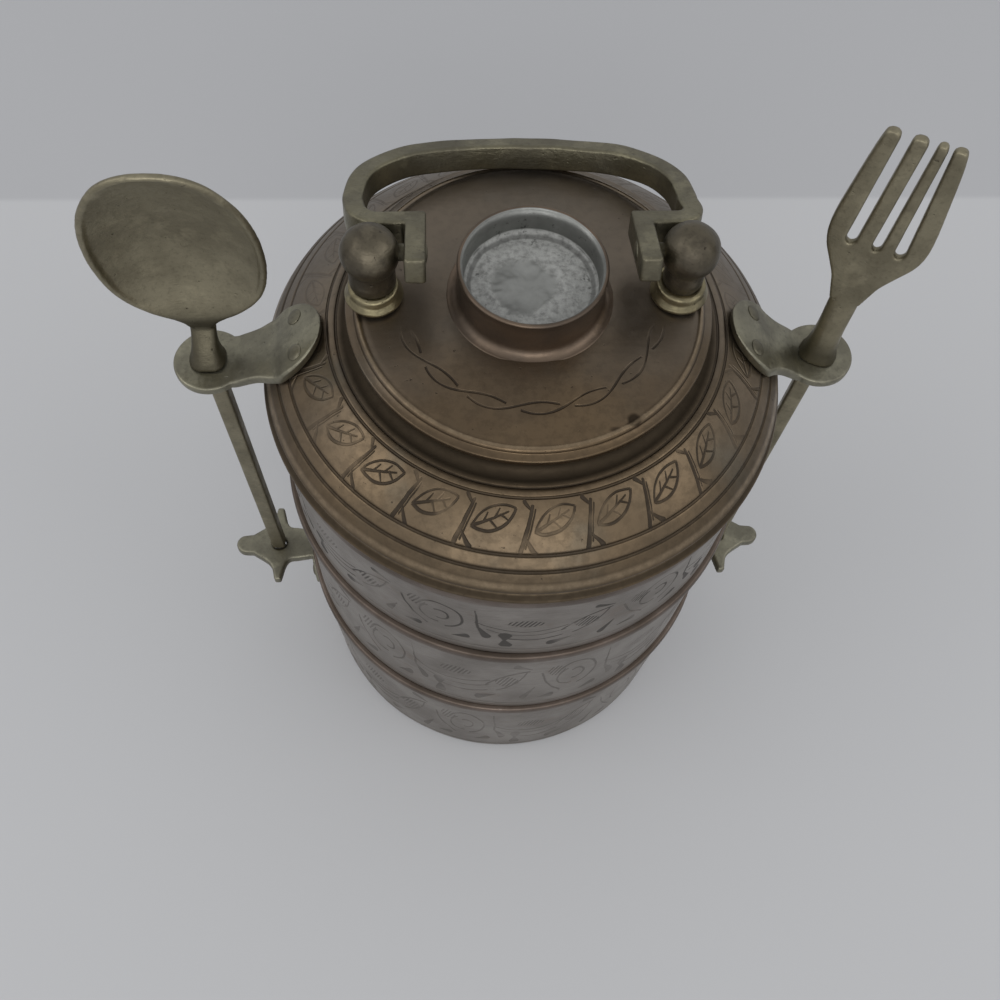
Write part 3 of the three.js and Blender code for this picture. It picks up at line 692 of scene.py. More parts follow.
def lug(side):
    name, out, off, turn = side
    centre = SHAFT_X + out
    near = BOWL_RADIUS + GAP
    reach, spike, stem, nub = 15.4, 14.2, 11.0, 3.4
    half = [(near - 0.6, stem / 2), (near + 2, stem / 2 - 0.2)]
    for bend in (((-0.45, 0.42), (-0.2, 0.5), (-0.06, 1)), ((0.08, 1), (0.2, 0.58), (0.62, 0.25))):
        half += smooth_run([(centre + x * reach, y * spike) for x, y in bend], 14)
    half += arc((centre + reach - nub, 0), nub, 80, 0, 9)
    outline, hole = drilled(mirrored(half), centre, 2.3, 12, 29, off)
    cross = plate("cross", outline, lambda x, y, d: (x, y, LUG_TOP - d), 4.0, 0.7, [hole])
    tall, wide, thick = 17.0, 24.0, 2.4
    shares = [(0, 0.6), (0.25, 0.9), (0.5, 1), (0.82, 0.7), (1, 0.3)]
    edge = [(-x * tall, y * wide / 2) for x, y in shares]
    edge = [edge[0], *smooth_run(edge, 24)[1:-1], (-tall, wide * 0.15), (-tall - 0.6, 0.0)]
    flange_outline = [(y, z) for z, y in mirrored([(-0.02, 0.0), *edge])]

    def bent(across, height, depth):
        angle = (across + off) / near
        radius = near + thick - depth
        return (radius * math.cos(angle), radius * math.sin(angle), LUG_TOP + height)

    flange = plate("flange", flange_outline, bent, thick, 0.6, grid=2.0)
    piece = cast(
        f"lug_{name}_cross", [shell_of(cross), shell_of(flange)], move=turn, smoothing=4,
    )
    fitted(piece, "bottom_tier", f"lug_{name}")
    seat, grip = (near + thick, LUG_TOP - tall * 0.6), thick + GAP + BOWL_SHEET
    return piece, rivets("lug", side, "bottom_tier", seat, math.pi / 2, 13.0, grip, 0.9)


# Spoon and fork, stood on the origin of their shaft

def rounded_bar(height, half_width, half_depth, back=0.0, power=4.0, steps=28):
    """A section of a bar with soft corners, at a height."""
    points = []
    for i in range(steps):
        angle = 2 * math.pi * (i + 0.5) / steps
        c, s = math.cos(angle), math.sin(angle)
        size = (abs(c) ** power + abs(s) ** power) ** (-1 / power)
        points.append((half_width * c * size, back + half_depth * s * size, height))
    return points


def shaft_shells():
    half = SHAFT_SIDE / 2
    square = lofted([
        rounded_bar(z, half, half, power=9.0, steps=40)
        for z in (LUG_TOP + GAP, LUG_TOP + GAP + 1, 110, CUTLERY_FOOT + 2)
    ])
    tip = lofted([
        rounded_bar(z, r, r, power=2.0) for z, r in ((48.5, 1.5), (49, 2.0), (54, 2.0))
    ])
    return [square, tip]


SPOON_HALF_WIDTHS = [
    (69.2, 0.0), (69.0, 3.0), (68.2, 6.2), (66.8, 9.1), (64.5, 11.9), (61, 14.5), (57, 16.7),
    (53, 18.1), (48.5, 19.1), (44, 19.6), (38.5, 19.7), (33, 19.2), (28, 18.2), (24, 16.7),
    (20.5, 14.5), (17.8, 12.0), (15, 8.9), (13.5, 6.9), (12, 5.1), (10.5, 3.8), (9, 3.2),
]


def spoon():
    """An egg-shaped hollow on a short neck. It leans a little forwards and to the bowls."""
    depth, sheet, lean, aside = 7.4, 1.6, math.tan(math.radians(6)), 0.03
    middle, above, below, half = 38.6, 30.6, 26.0, 20.2
    narrow, short, bead_end = 0.965, 0.97, 9.6
    right = [(w, h) for h, w in smooth_run(SPOON_HALF_WIDTHS, 60)]
    edge = right + [(-w, h) for w, h in right[-1:0:-1]]

    def deep(share, x, height):
        """Depth of an oval dish that runs out to nothing along the edge and in the tail."""
        rise = (height - middle) / (above if height > middle else below)
        oval = share ** 2 * ((x / half) ** 2 + rise ** 2)
        return depth * max(0.0, 1 - max(oval, share ** 9))

    rings, steps = 22, len(edge)
    points, faces = [], []
    for back in (0.0, sheet):
        for ring in range(rings + 1):
            share = ring / rings
            for x, height in edge:
                points.append((
                    share * x * narrow, back - 0.5 + deep(share, x, height),
                    middle + share * (height - middle) * short,
                ))
    brim, behind = rings * steps, (rings + 1) * steps
    for start in range(0, brim, steps):
        faces += belt(start, start + steps, steps)
        faces += belt(behind + start, behind + start + steps, steps)
    faces += belt(brim, behind + brim, steps)
    hollow = (points, faces)
    lip = [(x * narrow, 0.2, middle + (h - middle) * short) for x, h in edge if h > bead_end]
    start = next(i for i, (x, h) in enumerate(edge) if h <= bead_end)
    lip = lip[start:] + lip[:start]
    bead = []
    for i, spot in enumerate(lip):
        after, before = lip[min(i + 1, len(lip) - 1)], lip[max(i - 1, 0)]
        way = (Vector(after) - Vector(before)).normalized()
        side = way.cross(Vector((0, 1, 0)))
        thick = 0.95 * min(1.0, max(0.3, (spot[2] - 8) / 9))
        bead.append([
            tuple(Vector(spot) + (side * math.cos(a) + Vector((0, 1, 0)) * math.sin(a)) * thick)
            for a in np.radians(np.arange(0, 360, 36))
        ])
    shares = [
        (-0.02, 4.9, 4.6, 0), (0.5, 4.8, 4.5, 0), (2.4, 4.1, 3.8, 0.3), (5.5, 3.4, 2.9, 1.6),
        (8.5, 3.3, 2.1, 3.6), (11, 3.6, 1.5, 5.2), (14, 3.4, 1.0, 6.9), (18, 2.0, 0.7, 8.4),
    ]
    neck = lofted([
        rounded_bar(height, half_width, half_depth, back, 2.6)
        for height, half_width, half_depth, back in smooth_run(shares, 34)
    ])
    leant = [
        (
            [
                (x + z * aside - 0.3, y + (middle - z) * tilt, z + CUTLERY_FOOT)
                for x, y, z in shell_points
            ],
            shell_faces,
        )
        for (shell_points, shell_faces), tilt in (
            (hollow, lean), (lofted(bead), lean), (neck, 0.0),
        )
    ]
    place = moved(-SHAFT_X - SIDE_ASIDE, -FORWARD, 0)
    piece = cast("spoon_casting", [*leant, *shaft_shells()], 0.42, 5, place)
    return fitted(piece, "spoon", "spoon")


def fork():
    plate_thickness, neck, width, length, curl = 2.2, 22.7, 24.4, 53.1, 0.8
    tines, lean, yaw = 33.9, math.radians(1.4), math.radians(-24)
    profile = [
        (0, 0.31), (0.076, 0.4), (0.152, 0.5), (0.238, 0.69), (0.333, 0.905), (0.42, 0.99),
        (0.533, 0.98), (0.686, 0.91), (0.9, 0.8), (1, 0.72),
    ]
    heights, widths = zip(*smooth_run(profile, 80))
    # Each tine's two edges: sideways places at its root and at its tip, outer edges by profile.
    tine_edges = [
        (1, (7.7, 5.9)), ((5.2, 5.0), (2.0, 2.7)), ((-0.1, 1.0), (-3.9, -2.4)), ((-6.3, -4.7), -1),
    ]
    crotch, tip, rounding = 1 - tines / length, 0.975, 0.035

    def at(edge, share):
        if isinstance(edge, int):
            narrow = 1.0 if edge > 0 else 1 - 0.1 * min(1.0, share / 0.35)
            return (edge * narrow * width / 2 * np.interp(share, heights, widths), share * length)
        rise = max(0.0, (share - crotch) / (1 - crotch))
        return (edge[0] + (edge[1] - edge[0]) * rise, share * length)

    def half_round(edges, share, rise, angles):
        """From one edge to the next, over a tip or under a crotch."""
        start, end = (at(edge, share)[0] for edge in edges)
        middle, half = (start + end) / 2, (start - end) / 2
        return [
            (middle + half * math.cos(a), (share + rise * math.sin(a)) * length)
            for a in np.radians(angles)
        ]

    climb = np.linspace(crotch + rounding, tip, 12)
    outline = [at(1, share) for share in np.linspace(0, crotch, 24)]
    for i, (near, far) in enumerate(tine_edges):
        outline += [at(near, share) for share in climb]
        outline += half_round((near, far), tip, 1 - tip, [35, 65, 90, 115, 145])
        outline += [at(far, share) for share in climb[::-1]]
        if i + 1 < len(tine_edges):
            edges = (far, tine_edges[i + 1][0])
            outline += half_round(edges, climb[0], -rounding, [30, 60, 90, 120, 150])
    outline += [at(-1, share) for share in np.linspace(crotch, 0, 24)]
    half = plate_thickness / 2

    def place(x, height, depth):
        return (x, half - depth - curl * (height / length) ** 2, neck + height)

    head = shell_of(plate("head", outline, place, plate_thickness, 0.45, grid=2.2))
    shares = [
        (-0.01, 0.62, 0.55), (0.03, 0.58, 0.52), (0.15, 0.5, 0.45), (0.5, 0.43, 0.33),
        (0.95, 0.44, 0.19), (1.18, 0.42, 0.12),
    ]
    stem = lofted([
        rounded_bar(neck * h, 8.2 * w, 8.2 * d, 0, 2.8) for h, w, d in smooth_run(shares, 30)
    ])
    aside = math.tan(lean)
    leant = [
        ([(x - z * aside, y, z + CUTLERY_FOOT) for x, y, z in points], faces)
        for points, faces in (head, stem)
    ]
    place = moved(SHAFT_X - SIDE_ASIDE, -FORWARD, 0) @ Matrix.Rotation(yaw, 4, "Z")
    piece = cast("fork_casting", [*leant, *shaft_shells()], 0.36, 3, place)
    return fitted(piece, "fork", "fork")


# Finishes. A Field wraps a socket, so that arithmetic on it adds nodes.

def adding(operation, reflected=False):
    """A method of Field that adds the node of an operation on two values."""
    def method(field, other):
        terms = (other, field) if reflected else (field, other)
        return field.joined(operation, *terms)
    return method


class Field:
    """A value, vector or colour that varies over a surface."""

    def __init__(self, finish, socket):
        self.finish = finish
        self.socket = socket

    def joined(self, operation, *terms):
        vector = any(
            isinstance(t, tuple) or isinstance(t, Field) and t.socket.type == "VECTOR"
            for t in terms
        )
        if not vector:
            return self.finish.maths(operation, *terms)
        terms = [(t, t, t) if isinstance(t, (int, float)) else t for t in terms]
        return self.finish.vectors(operation, *terms)

    __add__, __radd__ = adding("ADD"), adding("ADD", True)
    __sub__, __rsub__ = adding("SUBTRACT"), adding("SUBTRACT", True)
    __mul__, __rmul__ = adding("MULTIPLY"), adding("MULTIPLY", True)
    __truediv__, __rtruediv__ = adding("DIVIDE"), adding("DIVIDE", True)
    at_least, at_most = adding("MAXIMUM"), adding("MINIMUM")

    def size(self):
        return self.joined("ABSOLUTE", self)

    def wave(self):
        return self.joined("SINE", self)

    def dot(self, other):
        return self.finish.vectors("DOT_PRODUCT", self, other, out=1)

    def length(self):
        return self.finish.vectors("LENGTH", self, out=1)

    def parts(self):
        node = self.finish.node("ShaderNodeSeparateXYZ", {}, self).socket.node
        return [Field(self.finish, socket) for socket in node.outputs]


class Finish:
    """A material, whose nodes are added by method calls and read left to right."""

    def __init__(self, name):
        self.material = bpy.data.materials.new(name)
        self.material.use_nodes = True
        self.tree = self.material.node_tree
        self.tree.nodes.clear()
        self.place = self.node("ShaderNodeTexCoord", {}, out="Object") * (1 / MM, 1 / MM, 1 / MM)

    def node(self, kind, settings, *values, out=0, **named):
        """Adds a node: its settings first, then its sockets by place and by name."""
        node = self.tree.nodes.new(kind)
        for key, value in settings.items():
            setattr(node, key, value)
        sockets = list(zip(node.inputs, values))
        sockets += [(node.inputs[key.replace("_", " ")], value) for key, value in named.items()]
        for socket, value in sockets:
            if value is None:
                continue
            if isinstance(value, Field):
                self.tree.links.new(value.socket, socket)
            elif socket.type == "RGBA" and len(value) == 3:
                socket.default_value = (*value, 1)
            else:
                socket.default_value = value
        return Field(self, node.outputs[out]) if len(node.outputs) else None

    def maths(self, operation, *values, **settings):
        return self.node("ShaderNodeMath", {"operation": operation, **settings}, *values)

    def vectors(self, operation, *values, out=0):
        return self.node("ShaderNodeVectorMath", {"operation": operation}, *values, out=out)

    def blend(self, factor, one, other):
        """A colour between two others."""
        return self.node(
            "ShaderNodeMix", {"data_type": "RGBA"}, factor, None, None, None, None, None,
            one, other, out=2,
        )

    def ramped(self, value, low, high, start=0.0, end=1.0):
        """A value carried smoothly from one range to another, and held beyond it."""
        settings = {"interpolation_type": "SMOOTHSTEP"}
        return self.node("ShaderNodeMapRange", settings, value, low, high, start, end)

    def cloud(self, size, detail=3.0, rough=0.55, seed=0.0, stretch=(1, 1, 1)):
        """Noise about a half, over features of a size in millimetres."""
        place = self.place * tuple(s / size for s in stretch)
        if seed:
            place = place + (seed, seed, seed)
        return self.node(
            "ShaderNodeTexNoise", {}, Vector=place, Scale=1.0, Detail=detail, Roughness=rough,
        )

    def axes(self):
        """X, Y and Z in millimetres."""
        return self.place.parts()

    def raised(self, height):
        """A bumped normal from a height in millimetres."""
        return self.node("ShaderNodeBump", {}, 1.0, MM, Height=height)

    def closed(self, base, roughness, normal=None, metallic=1.0):
        """The surface itself."""
        shader = self.node(
            "ShaderNodeBsdfPrincipled", {}, Base_Color=base, Roughness=roughness,
            Metallic=metallic, Normal=normal,
        )
        self.node("ShaderNodeOutputMaterial", {}, shader)
        return self.material


# Engraving. Strokes are drawn on a flat strip, as distances in millimetres to their edge.

# Radii of the edge beads of the lid and the cap, which get a painted highlight ring and a lower
# roughness.
LID_POLISH_AND_HIGHLIGHT, CAP_POLISH_AND_HIGHLIGHT = 67.7, 42.5
BAND_CELLS = 24
CABLE_RADIUS = 32.3
CABLE_CELLS = 8


def stroke(p, start, end, wide=0.3, thin=None):
    """Distance to a straight stroke that may taper."""
    thin = wide if thin is None else thin
    way = (end[0] - start[0], end[1] - start[1], 0)
    back = (-way[0], -way[1], 0)
    make = p.finish
    off = p - (*start, 0)
    share = make.maths("MULTIPLY", off.dot(way), 1 / (way[0] ** 2 + way[1] ** 2), use_clamp=True)
    length = make.vectors("MULTIPLY_ADD", share, back, off).length()
    if thin == wide:
        return length - wide
    return length + make.maths("MULTIPLY_ADD", share, wide - thin, -wide)


def bow(p, centre, radius, facing, half, wide=0.28):
    """Distance to an arc that faces a way and spans so many degrees either side of it."""
    off = p - (*centre, 0)
    length = off.length()
    facing, half = math.radians(facing), math.radians(half)
    outside = length * math.cos(half) - off.dot((math.cos(facing), math.sin(facing), 0))
    return ((length - radius).size() - wide).at_least(outside)


def spot(p, centre, wide, tall):
    """Distance to a filled oval."""
    length = ((p - (*centre, 0)) * (1 / wide, 1 / tall, 0)).length()
    return (length - 1) * min(wide, tall)


def nearest(distances):
    return functools.reduce(lambda one, other: one.at_most(other), distances)


def strip(f, radius, up, cells, phase):
    """Places on a strip round Z, in cells that repeat."""
    x, y, _ = f.axes()
    turns = f.maths("ARCTAN2", y, x) * (cells / (2 * math.pi)) + (phase + cells)
    across = (f.maths("FRACT", turns) - 0.5) * (2 * math.pi * radius / cells)
    return f.node("ShaderNodeCombineXYZ", {}, across, up, 0.0)


def out_from_axis(f, x, y):
    return f.maths("SQRT", x * x + y * y)


def scaled(colour, share):
    return tuple(c * share for c in colour)


WALL_CELLS = 7
TIN_LIGHT = (0.30, 0.272, 0.245)
TIN_DARK = (0.205, 0.185, 0.165)
WALL_LOOKS = [(0.5, 0.2, 0.4), (0.6, 0.65, 3.2), (1.0, 0.34, 0.2)]


def hatched(p, centre, wide, tall):
    """An oval filled with slanted lines."""
    return spot(p, centre, wide, tall).at_least((p.dot((5, -3, 0)).wave() - 0.2) * -0.25)


def arabesque(p):
    """Open curls, a swag of thin lines, hatched leaves, drops and small flared stems."""
    return nearest([
        bow(p, (-19.0, 1.6), 6.4, 42, 118, 0.34),
        bow(p, (-20.4, 0.8), 4.2, 200, 84, 0.26),
        bow(p, (-18.8, 1.6), 2.4, 10, 120, 0.3),
        bow(p, (-12.0, 8.8), 18.6, 214, 21, 0.3),
        hatched(p, (-25.6, 5.0), 2.6, 2.6),
        stroke(p, (-9.4, 8.8), (-8.6, -1.0), 0.16, 0.4),
        stroke(p, (-8.6, -1.0), (-6.0, -5.6), 0.36, 1.25),
        bow(p, (4.0, 26.0), 27.4, -92, 27, 0.2),
        bow(p, (4.4, 25.0), 28.6, -90, 22, 0.17),
        bow(p, (5.0, 22.0), 28.4, -87, 17, 0.26),
        hatched(p, (4.2, 3.4), 4.8, 1.7),
        stroke(p, (-1.0, -4.4), (-0.8, -6.9), 1.9, 0.45),
        stroke(p, (-0.8, -6.9), (-0.4, -9.6), 0.45, 1.9),
        bow(p, (30.0, -13.0), 19.5, 122, 24, 0.3),
        bow(p, (11.5, 10.0), 15.5, -40, 27, 0.22),
        hatched(p, (20.6, 0.8), 3.6, 2.6),
        stroke(p, (12.2, -8.8), (17.4, -6.9), 1.3, 0.12),
        stroke(p, (26.4, -8.4), (29.4, -3.2), 1.1, 0.14),
        stroke(p, (-15.6, -9.2), (-11.4, -7.6), 0.14, 1.2),
        stroke(p, (22.8, 8.8), (27.8, 7.4), 0.9, 0.14),
        stroke(p, (-29.6, -9.0), (-25.4, -8.2), 0.2, 1.1),
    ])


def strapwork(p):
    """A forked stem, and the pointed leaf that fills the room to the next stem."""
    return nearest([
        stroke(p, (-6.9, -5.2), (-4.4, 4.0), 0.5, 0.34),
        stroke(p, (-5.7, -4.2), (-3.8, 3.2), 0.14, 0.14),
        stroke(p, (-4.6, 3.0), (-6.4, 5.0), 0.2, 0.5),
        stroke(p, (-5.8, -2.6), (-3.4, -5.2), 0.2, 0.52),
        bow(p, (3.33, -3.53), 7.5, 114.7, 47.2, 0.2),
        bow(p, (-0.93, 5.73), 7.5, -65.3, 47.2, 0.28),
        stroke(p, (-3.4, -1.0), (4.4, 2.6), 0.3, 0.12),
        stroke(p, (-1.2, 0.0), (-0.4, 2.0), 0.22, 0.1),
        stroke(p, (1.4, 1.2), (2.4, 3.2), 0.22, 0.1),
        stroke(p, (0.2, 0.6), (1.8, -0.8), 0.22, 0.1),
        stroke(p, (2.6, 1.8), (4.4, 0.8), 0.22, 0.1),
    ])


def tinned_wall(tier, seat, top, strength, phase, bare):
    """Worn tin over copper, with a chased arabesque between two rings and a bare copper rim."""
    f = Finish(f"tinned_{tier}")
    x, y, z = f.axes()
    rim_foot = top - RIM_HEIGHT
    middle = (seat + rim_foot) / 2 + 1
    room = (rim_foot - seat - 12) / 2
    p = strip(f, BOWL_RADIUS, z - middle, WALL_CELLS, phase) * (1, 10.6 / room, 0)
    blotch, fine = f.cloud(26, 4, 0.6, 1.0 + seat), f.cloud(1.7, 5, 0.6, 4.0)
    drag = f.cloud(5, 4, 0.6, 7.0, (1, 1, 9))
    cut = arabesque(p + (f.cloud(9, 2, 0.5, 2.0) - 0.5) * (1.6, 1.6, 0))
    cut = f.ramped(cut, -0.13, 0.13, 1.0, 0.0)
    within = f.ramped((z - middle).size(), room + 0.6, room + 1.0, 1.0, 0.0)
    outside = f.ramped(out_from_axis(f, x, y), BOWL_RADIUS - 1.3, BOWL_RADIUS - 1.05)
    faded = f.ramped(f.cloud(12, 2, 0.5, 5.0), 0.36, 0.5, 0.45 * strength, strength)
    cut = cut * within * outside * faded
    tin = f.blend(f.ramped(blotch, 0.3, 0.7), TIN_LIGHT, TIN_DARK)
    tin = f.blend(f.ramped(drag, 0.45, 0.75, 0, 0.5), tin, (0.15, 0.132, 0.118))
    worn = f.ramped(f.cloud(14, 5, 0.65, 11.0), 0.56, 0.72, 0.0, 0.4)
    tin = f.blend(worn, tin, (0.20, 0.15, 0.115))
    rim = f.ramped(z, rim_foot - bare - 0.7, rim_foot - bare)
    rim = rim * f.ramped(fine, 0.2, 0.5, 0.75, 1.0)
    copper = f.blend(f.ramped(blotch, 0.35, 0.65), (0.18, 0.142, 0.118), (0.115, 0.09, 0.072))
    colour = f.blend(rim, tin, copper)
    colour = f.blend(cut * 0.92, colour, (0.045, 0.04, 0.035))
    roughness = f.ramped(blotch, 0.3, 0.7, 0.38, 0.5) + cut * 0.25
    height = (0 - cut) * 0.22 + fine * 0.05 + drag * 0.06 + f.cloud(8, 2, 0.5, 3.0) * 0.15
    return f.closed(colour, roughness, f.raised(height), f.ramped(cut, 0, 1, 0.95, 0.5))


def old_copper(name, light, dark, pattern, shade, polish_and_highlight_radius):
    """Brown copper with a soft patina, a lighter and greyer tone towards the back, small scratches
    and pits, an engraved band, a painted highlight ring along the edge bead, and painted shade.
    """
    f = Finish(name)
    x, y, z = f.axes()
    blotch, fine = f.cloud(30, 4, 0.6, 3.0), f.cloud(2.2, 5, 0.65, 6.0)
    drag = f.cloud(9, 4, 0.6, 8.0, (0.4, 6, 1))
    green = f.ramped(f.cloud(22, 3, 0.6, 14.0), 0.52, 0.7, 0, 0.6)
    brown = f.blend(f.ramped(blotch, 0.32, 0.68), light, dark)
    brown = f.blend(green, brown, tuple(c * k for c, k in zip(dark, (0.95, 1.12, 1.3))))
    brown = f.blend(f.ramped(fine, 0.42, 0.62, 0, 0.3), brown, scaled(dark, 0.62))
    # Colour lighter and greyer towards the back.
    lighter_towards_back = f.ramped(y + (f.cloud(34, 3, 0.6, 18.0) - 0.5) * 60, -42.0, 14.0, 0.0, 0.62)
    brown = f.blend(lighter_towards_back, brown, (0.19, 0.166, 0.138))
    # Darkened where the shade function says: painted shade on the lid, from neck_shade; the dent
    # and the mark beside it on the cap.
    shaded = shade(f, x, y, z)
    brown = f.blend(shaded, brown, scaled(dark, 0.3))
    # Painted highlight: a lighter ring of colour along the edge bead, where the roughness is
    # lowered too.
    painted_highlight_and_polish = f.ramped((out_from_axis(f, x, y) - polish_and_highlight_radius).size(), 0.1, 0.75, 0.5, 0.0)
    brown = f.blend(painted_highlight_and_polish * f.ramped(fine, 0.3, 0.6, 1.0, 0.6), brown, (0.42, 0.32, 0.21))
    pits = f.ramped(f.cloud(1.3, 2, 0.5, 12.0), 0.72, 0.78)
    cut = pattern(f, x, y, z)
    colour = f.blend((pits * 0.6).at_least(cut * 0.85), brown, (0.04, 0.032, 0.025))
    height = fine * 0.05 + drag * 0.03 - pits * 0.08 + f.cloud(10, 2, 0.5, 1.0) * 0.2 - cut * 0.25
    roughness = f.ramped(blotch, 0.3, 0.7, 0.31, 0.42) + f.ramped(fine, 0.4, 0.7, 0, 0.08)
    roughness = roughness - painted_highlight_and_polish * 0.14 + shaded * 0.2
    return f.closed(colour, roughness + cut * 0.2, f.raised(height), 0.95)


def lid_band(f, x, y, z):
    radius = out_from_axis(f, x, y)
    middle = (BAND_OUTER + BAND_INNER) / 2
    p = strip(f, middle, middle - radius, BAND_CELLS, 0.3)
    shake = (f.cloud(9, 2, 0.5, 20.0) - 0.5) * (1.6, 1.2, 0)
    cut = f.ramped(strapwork(p + shake), -0.14, 0.14, 1.0, 0.0)
    inside = f.ramped((radius - middle).size(), 5.3, 5.6, 1.0, 0.0)
    faded = f.ramped(f.cloud(13, 2, 0.5, 24.0), 0.38, 0.52, 0.4, 1.0)
    dusty = f.ramped(y, -24.0, 4.0, 1.0, 0.4) * f.ramped(x.size(), 34.0, 54.0, 1.0, 0.62)
    cut = cut * faded * dusty * inside
    for ring, _ in [*LID_RINGS, (LEDGE_RING, 0)]:
        cut = cut.at_least(f.ramped((radius - ring).size(), 0.15, 0.42, 0.7, 0.0))
    return cut * f.ramped(z, EDGE_TOP, EDGE_TOP + 0.4)


def neck_shade(f, x, y, z):
    """Painted shade in the hollow under the cap, on the outer slope, and under the edge roll down
    to the lip, where it is weaker.
    """
    radius = out_from_axis(f, x, y)
    # Painted shade under the cap's overhang.
    hollow = f.ramped(radius, LEDGE_INNER - 0.2, LEDGE_INNER + 2.8, 0.95, 0.0)
    # Painted shade that tones down the lamp's reflection on the outer slope.
    slope = f.ramped(radius, 64.2, 65.4, 0.0, 0.3)
    # Painted shade under the edge roll, weaker on the lip's lower edge.
    recess = f.ramped(z, EDGE_TOP - 0.1, EDGE_TOP + 0.6, 0.8, 0.0)
    recess = recess * f.ramped(z, LID_SEAT + 1.5, LID_SEAT + 2.1, 0.3, 1.0)
    return hollow.at_least(slope).at_least(recess)


def dent_shade(f, x, y, z):
    """Tarnish in the dent and a dark mark beside it."""
    dent = f.ramped(out_from_axis(f, x - DENT[0], y - DENT[1]), 1.1, 2.1, 1.0, 0.0)
    mark = f.ramped(out_from_axis(f, (x - 18.1) * 0.5, y + 37.9), 0.3, 1.0, 0.7, 0.0)
    return dent.at_least(mark)


def cap_cable(f, x, y, z):
    """Two strands that pass over and under each other along the front of the cap."""
    radius = out_from_axis(f, x, y)
    along, off, _ = strip(f, CABLE_RADIUS, radius - CABLE_RADIUS, CABLE_CELLS, 0.22).parts()
    length = 2 * math.pi * CABLE_RADIUS / CABLE_CELLS
    sway = (along * (2 * math.pi / length)).wave() * 1.55
    over = ((off - sway) * 0.93).size().at_least(1.9 - along.size())
    under = ((off + sway) * 0.93).size().at_least(along.size() - (length / 2 - 2.1))
    shake = (f.cloud(6, 2, 0.5, 30.0) - 0.5) * 0.35
    cut = f.ramped(over.at_most(under) + shake, 0.12, 0.36, 1.0, 0.0)
    faded = f.ramped(f.cloud(9, 2, 0.5, 17.0), 0.35, 0.5, 0.5, 0.95)
    front = f.ramped(y, -16.0, -8.0, 1.0, 0.0)
    return cut * faded * front * f.ramped(z, CAP_EDGE_TOP - 1, CAP_EDGE_TOP - 0.5)


def tinned_cup():
    """Dark copper outside; inside, dull tin with a chalky crust and dark pits."""
    f = Finish("cup_tin_and_crust")
    x, y, z = f.axes()
    radius = out_from_axis(f, x, y)
    blotch, fine = f.cloud(16, 4, 0.6, 2.0), f.cloud(1.6, 6, 0.7, 5.0)
    inside = f.ramped(radius, CUP_LIP - 0.1, CUP_LIP + 0.1, 1.0, 0.0)
    inside = inside * f.ramped(z, CUP_FLOOR - 0.5, CUP_FLOOR - 0.1)
    floor = f.ramped(z, CUP_FLOOR + 1.3, CUP_FLOOR + 2.1, 1.0, 0.0) * inside
    crust_edge = out_from_axis(f, x + 1.8, y) + (f.cloud(5, 5, 0.65, 9.0) - 0.5) * 7
    ring = f.ramped(crust_edge, 7.2, 9.2)
    crust = floor * f.ramped(fine, 0.3, 0.46, 0.65, 1.0) * (ring * 0.84 + 0.1)
    spots = f.ramped(f.cloud(2.6, 4, 0.7, 13.0), 0.6, 0.68, 0.0, 0.7) * f.ramped(radius, 9, 14)
    # A darker ring on the fillet where the inner wall meets the floor.
    dark_floor_ring = f.ramped((radius - 15.2).size(), 0.25, 0.8, 0.6, 0.0)
    tin = f.blend(f.ramped(blotch, 0.3, 0.7), (0.3, 0.302, 0.285), (0.185, 0.186, 0.175))
    chalk = f.blend(f.ramped(fine, 0.35, 0.65), (0.285, 0.285, 0.27), (0.42, 0.42, 0.4))
    copper = f.blend(f.ramped(blotch, 0.35, 0.65), (0.17, 0.125, 0.09), (0.11, 0.085, 0.065))
    colour = f.blend(inside, copper, tin)
    colour = f.blend(crust, colour, chalk)
    colour = f.blend(spots.at_least(dark_floor_ring) * inside, colour, (0.05, 0.05, 0.045))
    roughness = f.ramped(blotch, 0.3, 0.7, 0.36, 0.5) + crust * 0.4
    height = fine * (crust * 0.35 + 0.05) + f.cloud(5, 3, 0.5, 1.0) * 0.2
    return f.closed(colour, roughness, f.raised(height), (1 - crust) * 0.9)


def cast_brass(name, light, dark, worn=0.3, shine=0.4, foot=None):
    """Olive-brown cast brass, with dull hollows, rubbed patches, file marks and small pits, and,
    given foot heights, painted shade on a neck above its foot.
    """
    f = Finish(name)
    blotch, fine = f.cloud(11, 4, 0.6, 5.0), f.cloud(1.1, 5, 0.65, 2.0)
    marks = f.cloud(2.6, 4, 0.6, 9.0, (1, 1, 7))
    colour = f.blend(f.ramped(blotch, 0.32, 0.68), light, dark)
    rubbed = f.ramped(f.cloud(7, 4, 0.65, 15.0), 0.52, 0.68, 0.0, worn)
    colour = f.blend(rubbed, colour, scaled(light, 1.6))
    grime = f.ramped(fine, 0.5, 0.7, 0.0, 0.3)
    colour = f.blend(grime, colour, scaled(dark, 0.5))
    # Painted shade on the neck of a spoon or fork, from its foot up to the foot heights.
    if foot:
        _, _, z = f.axes()
        painted_cutlery_shade = f.ramped(z, *foot, 0.9, 0.0) * f.ramped(z, CUTLERY_FOOT - 4.5, CUTLERY_FOOT - 0.5)
        colour = f.blend(painted_cutlery_shade, colour, scaled(dark, 0.42))
    pits = f.ramped(f.cloud(1.5, 2, 0.5, 22.0), 0.7, 0.78)
    colour = f.blend(pits * 0.5, colour, scaled(dark, 0.35))
    height = fine * 0.07 + marks * 0.06 - pits * 0.12 + f.cloud(4.5, 2, 0.5, 8.0) * 0.2
    roughness = f.ramped(blotch, 0.3, 0.7, shine - 0.05, shine + 0.08) + grime * 0.12
    return f.closed(colour, roughness, f.raised(height), 0.95)


def dress(piece, material):
    piece.data.materials.clear()
    piece.data.materials.append(material)


# The pieces and their finishes

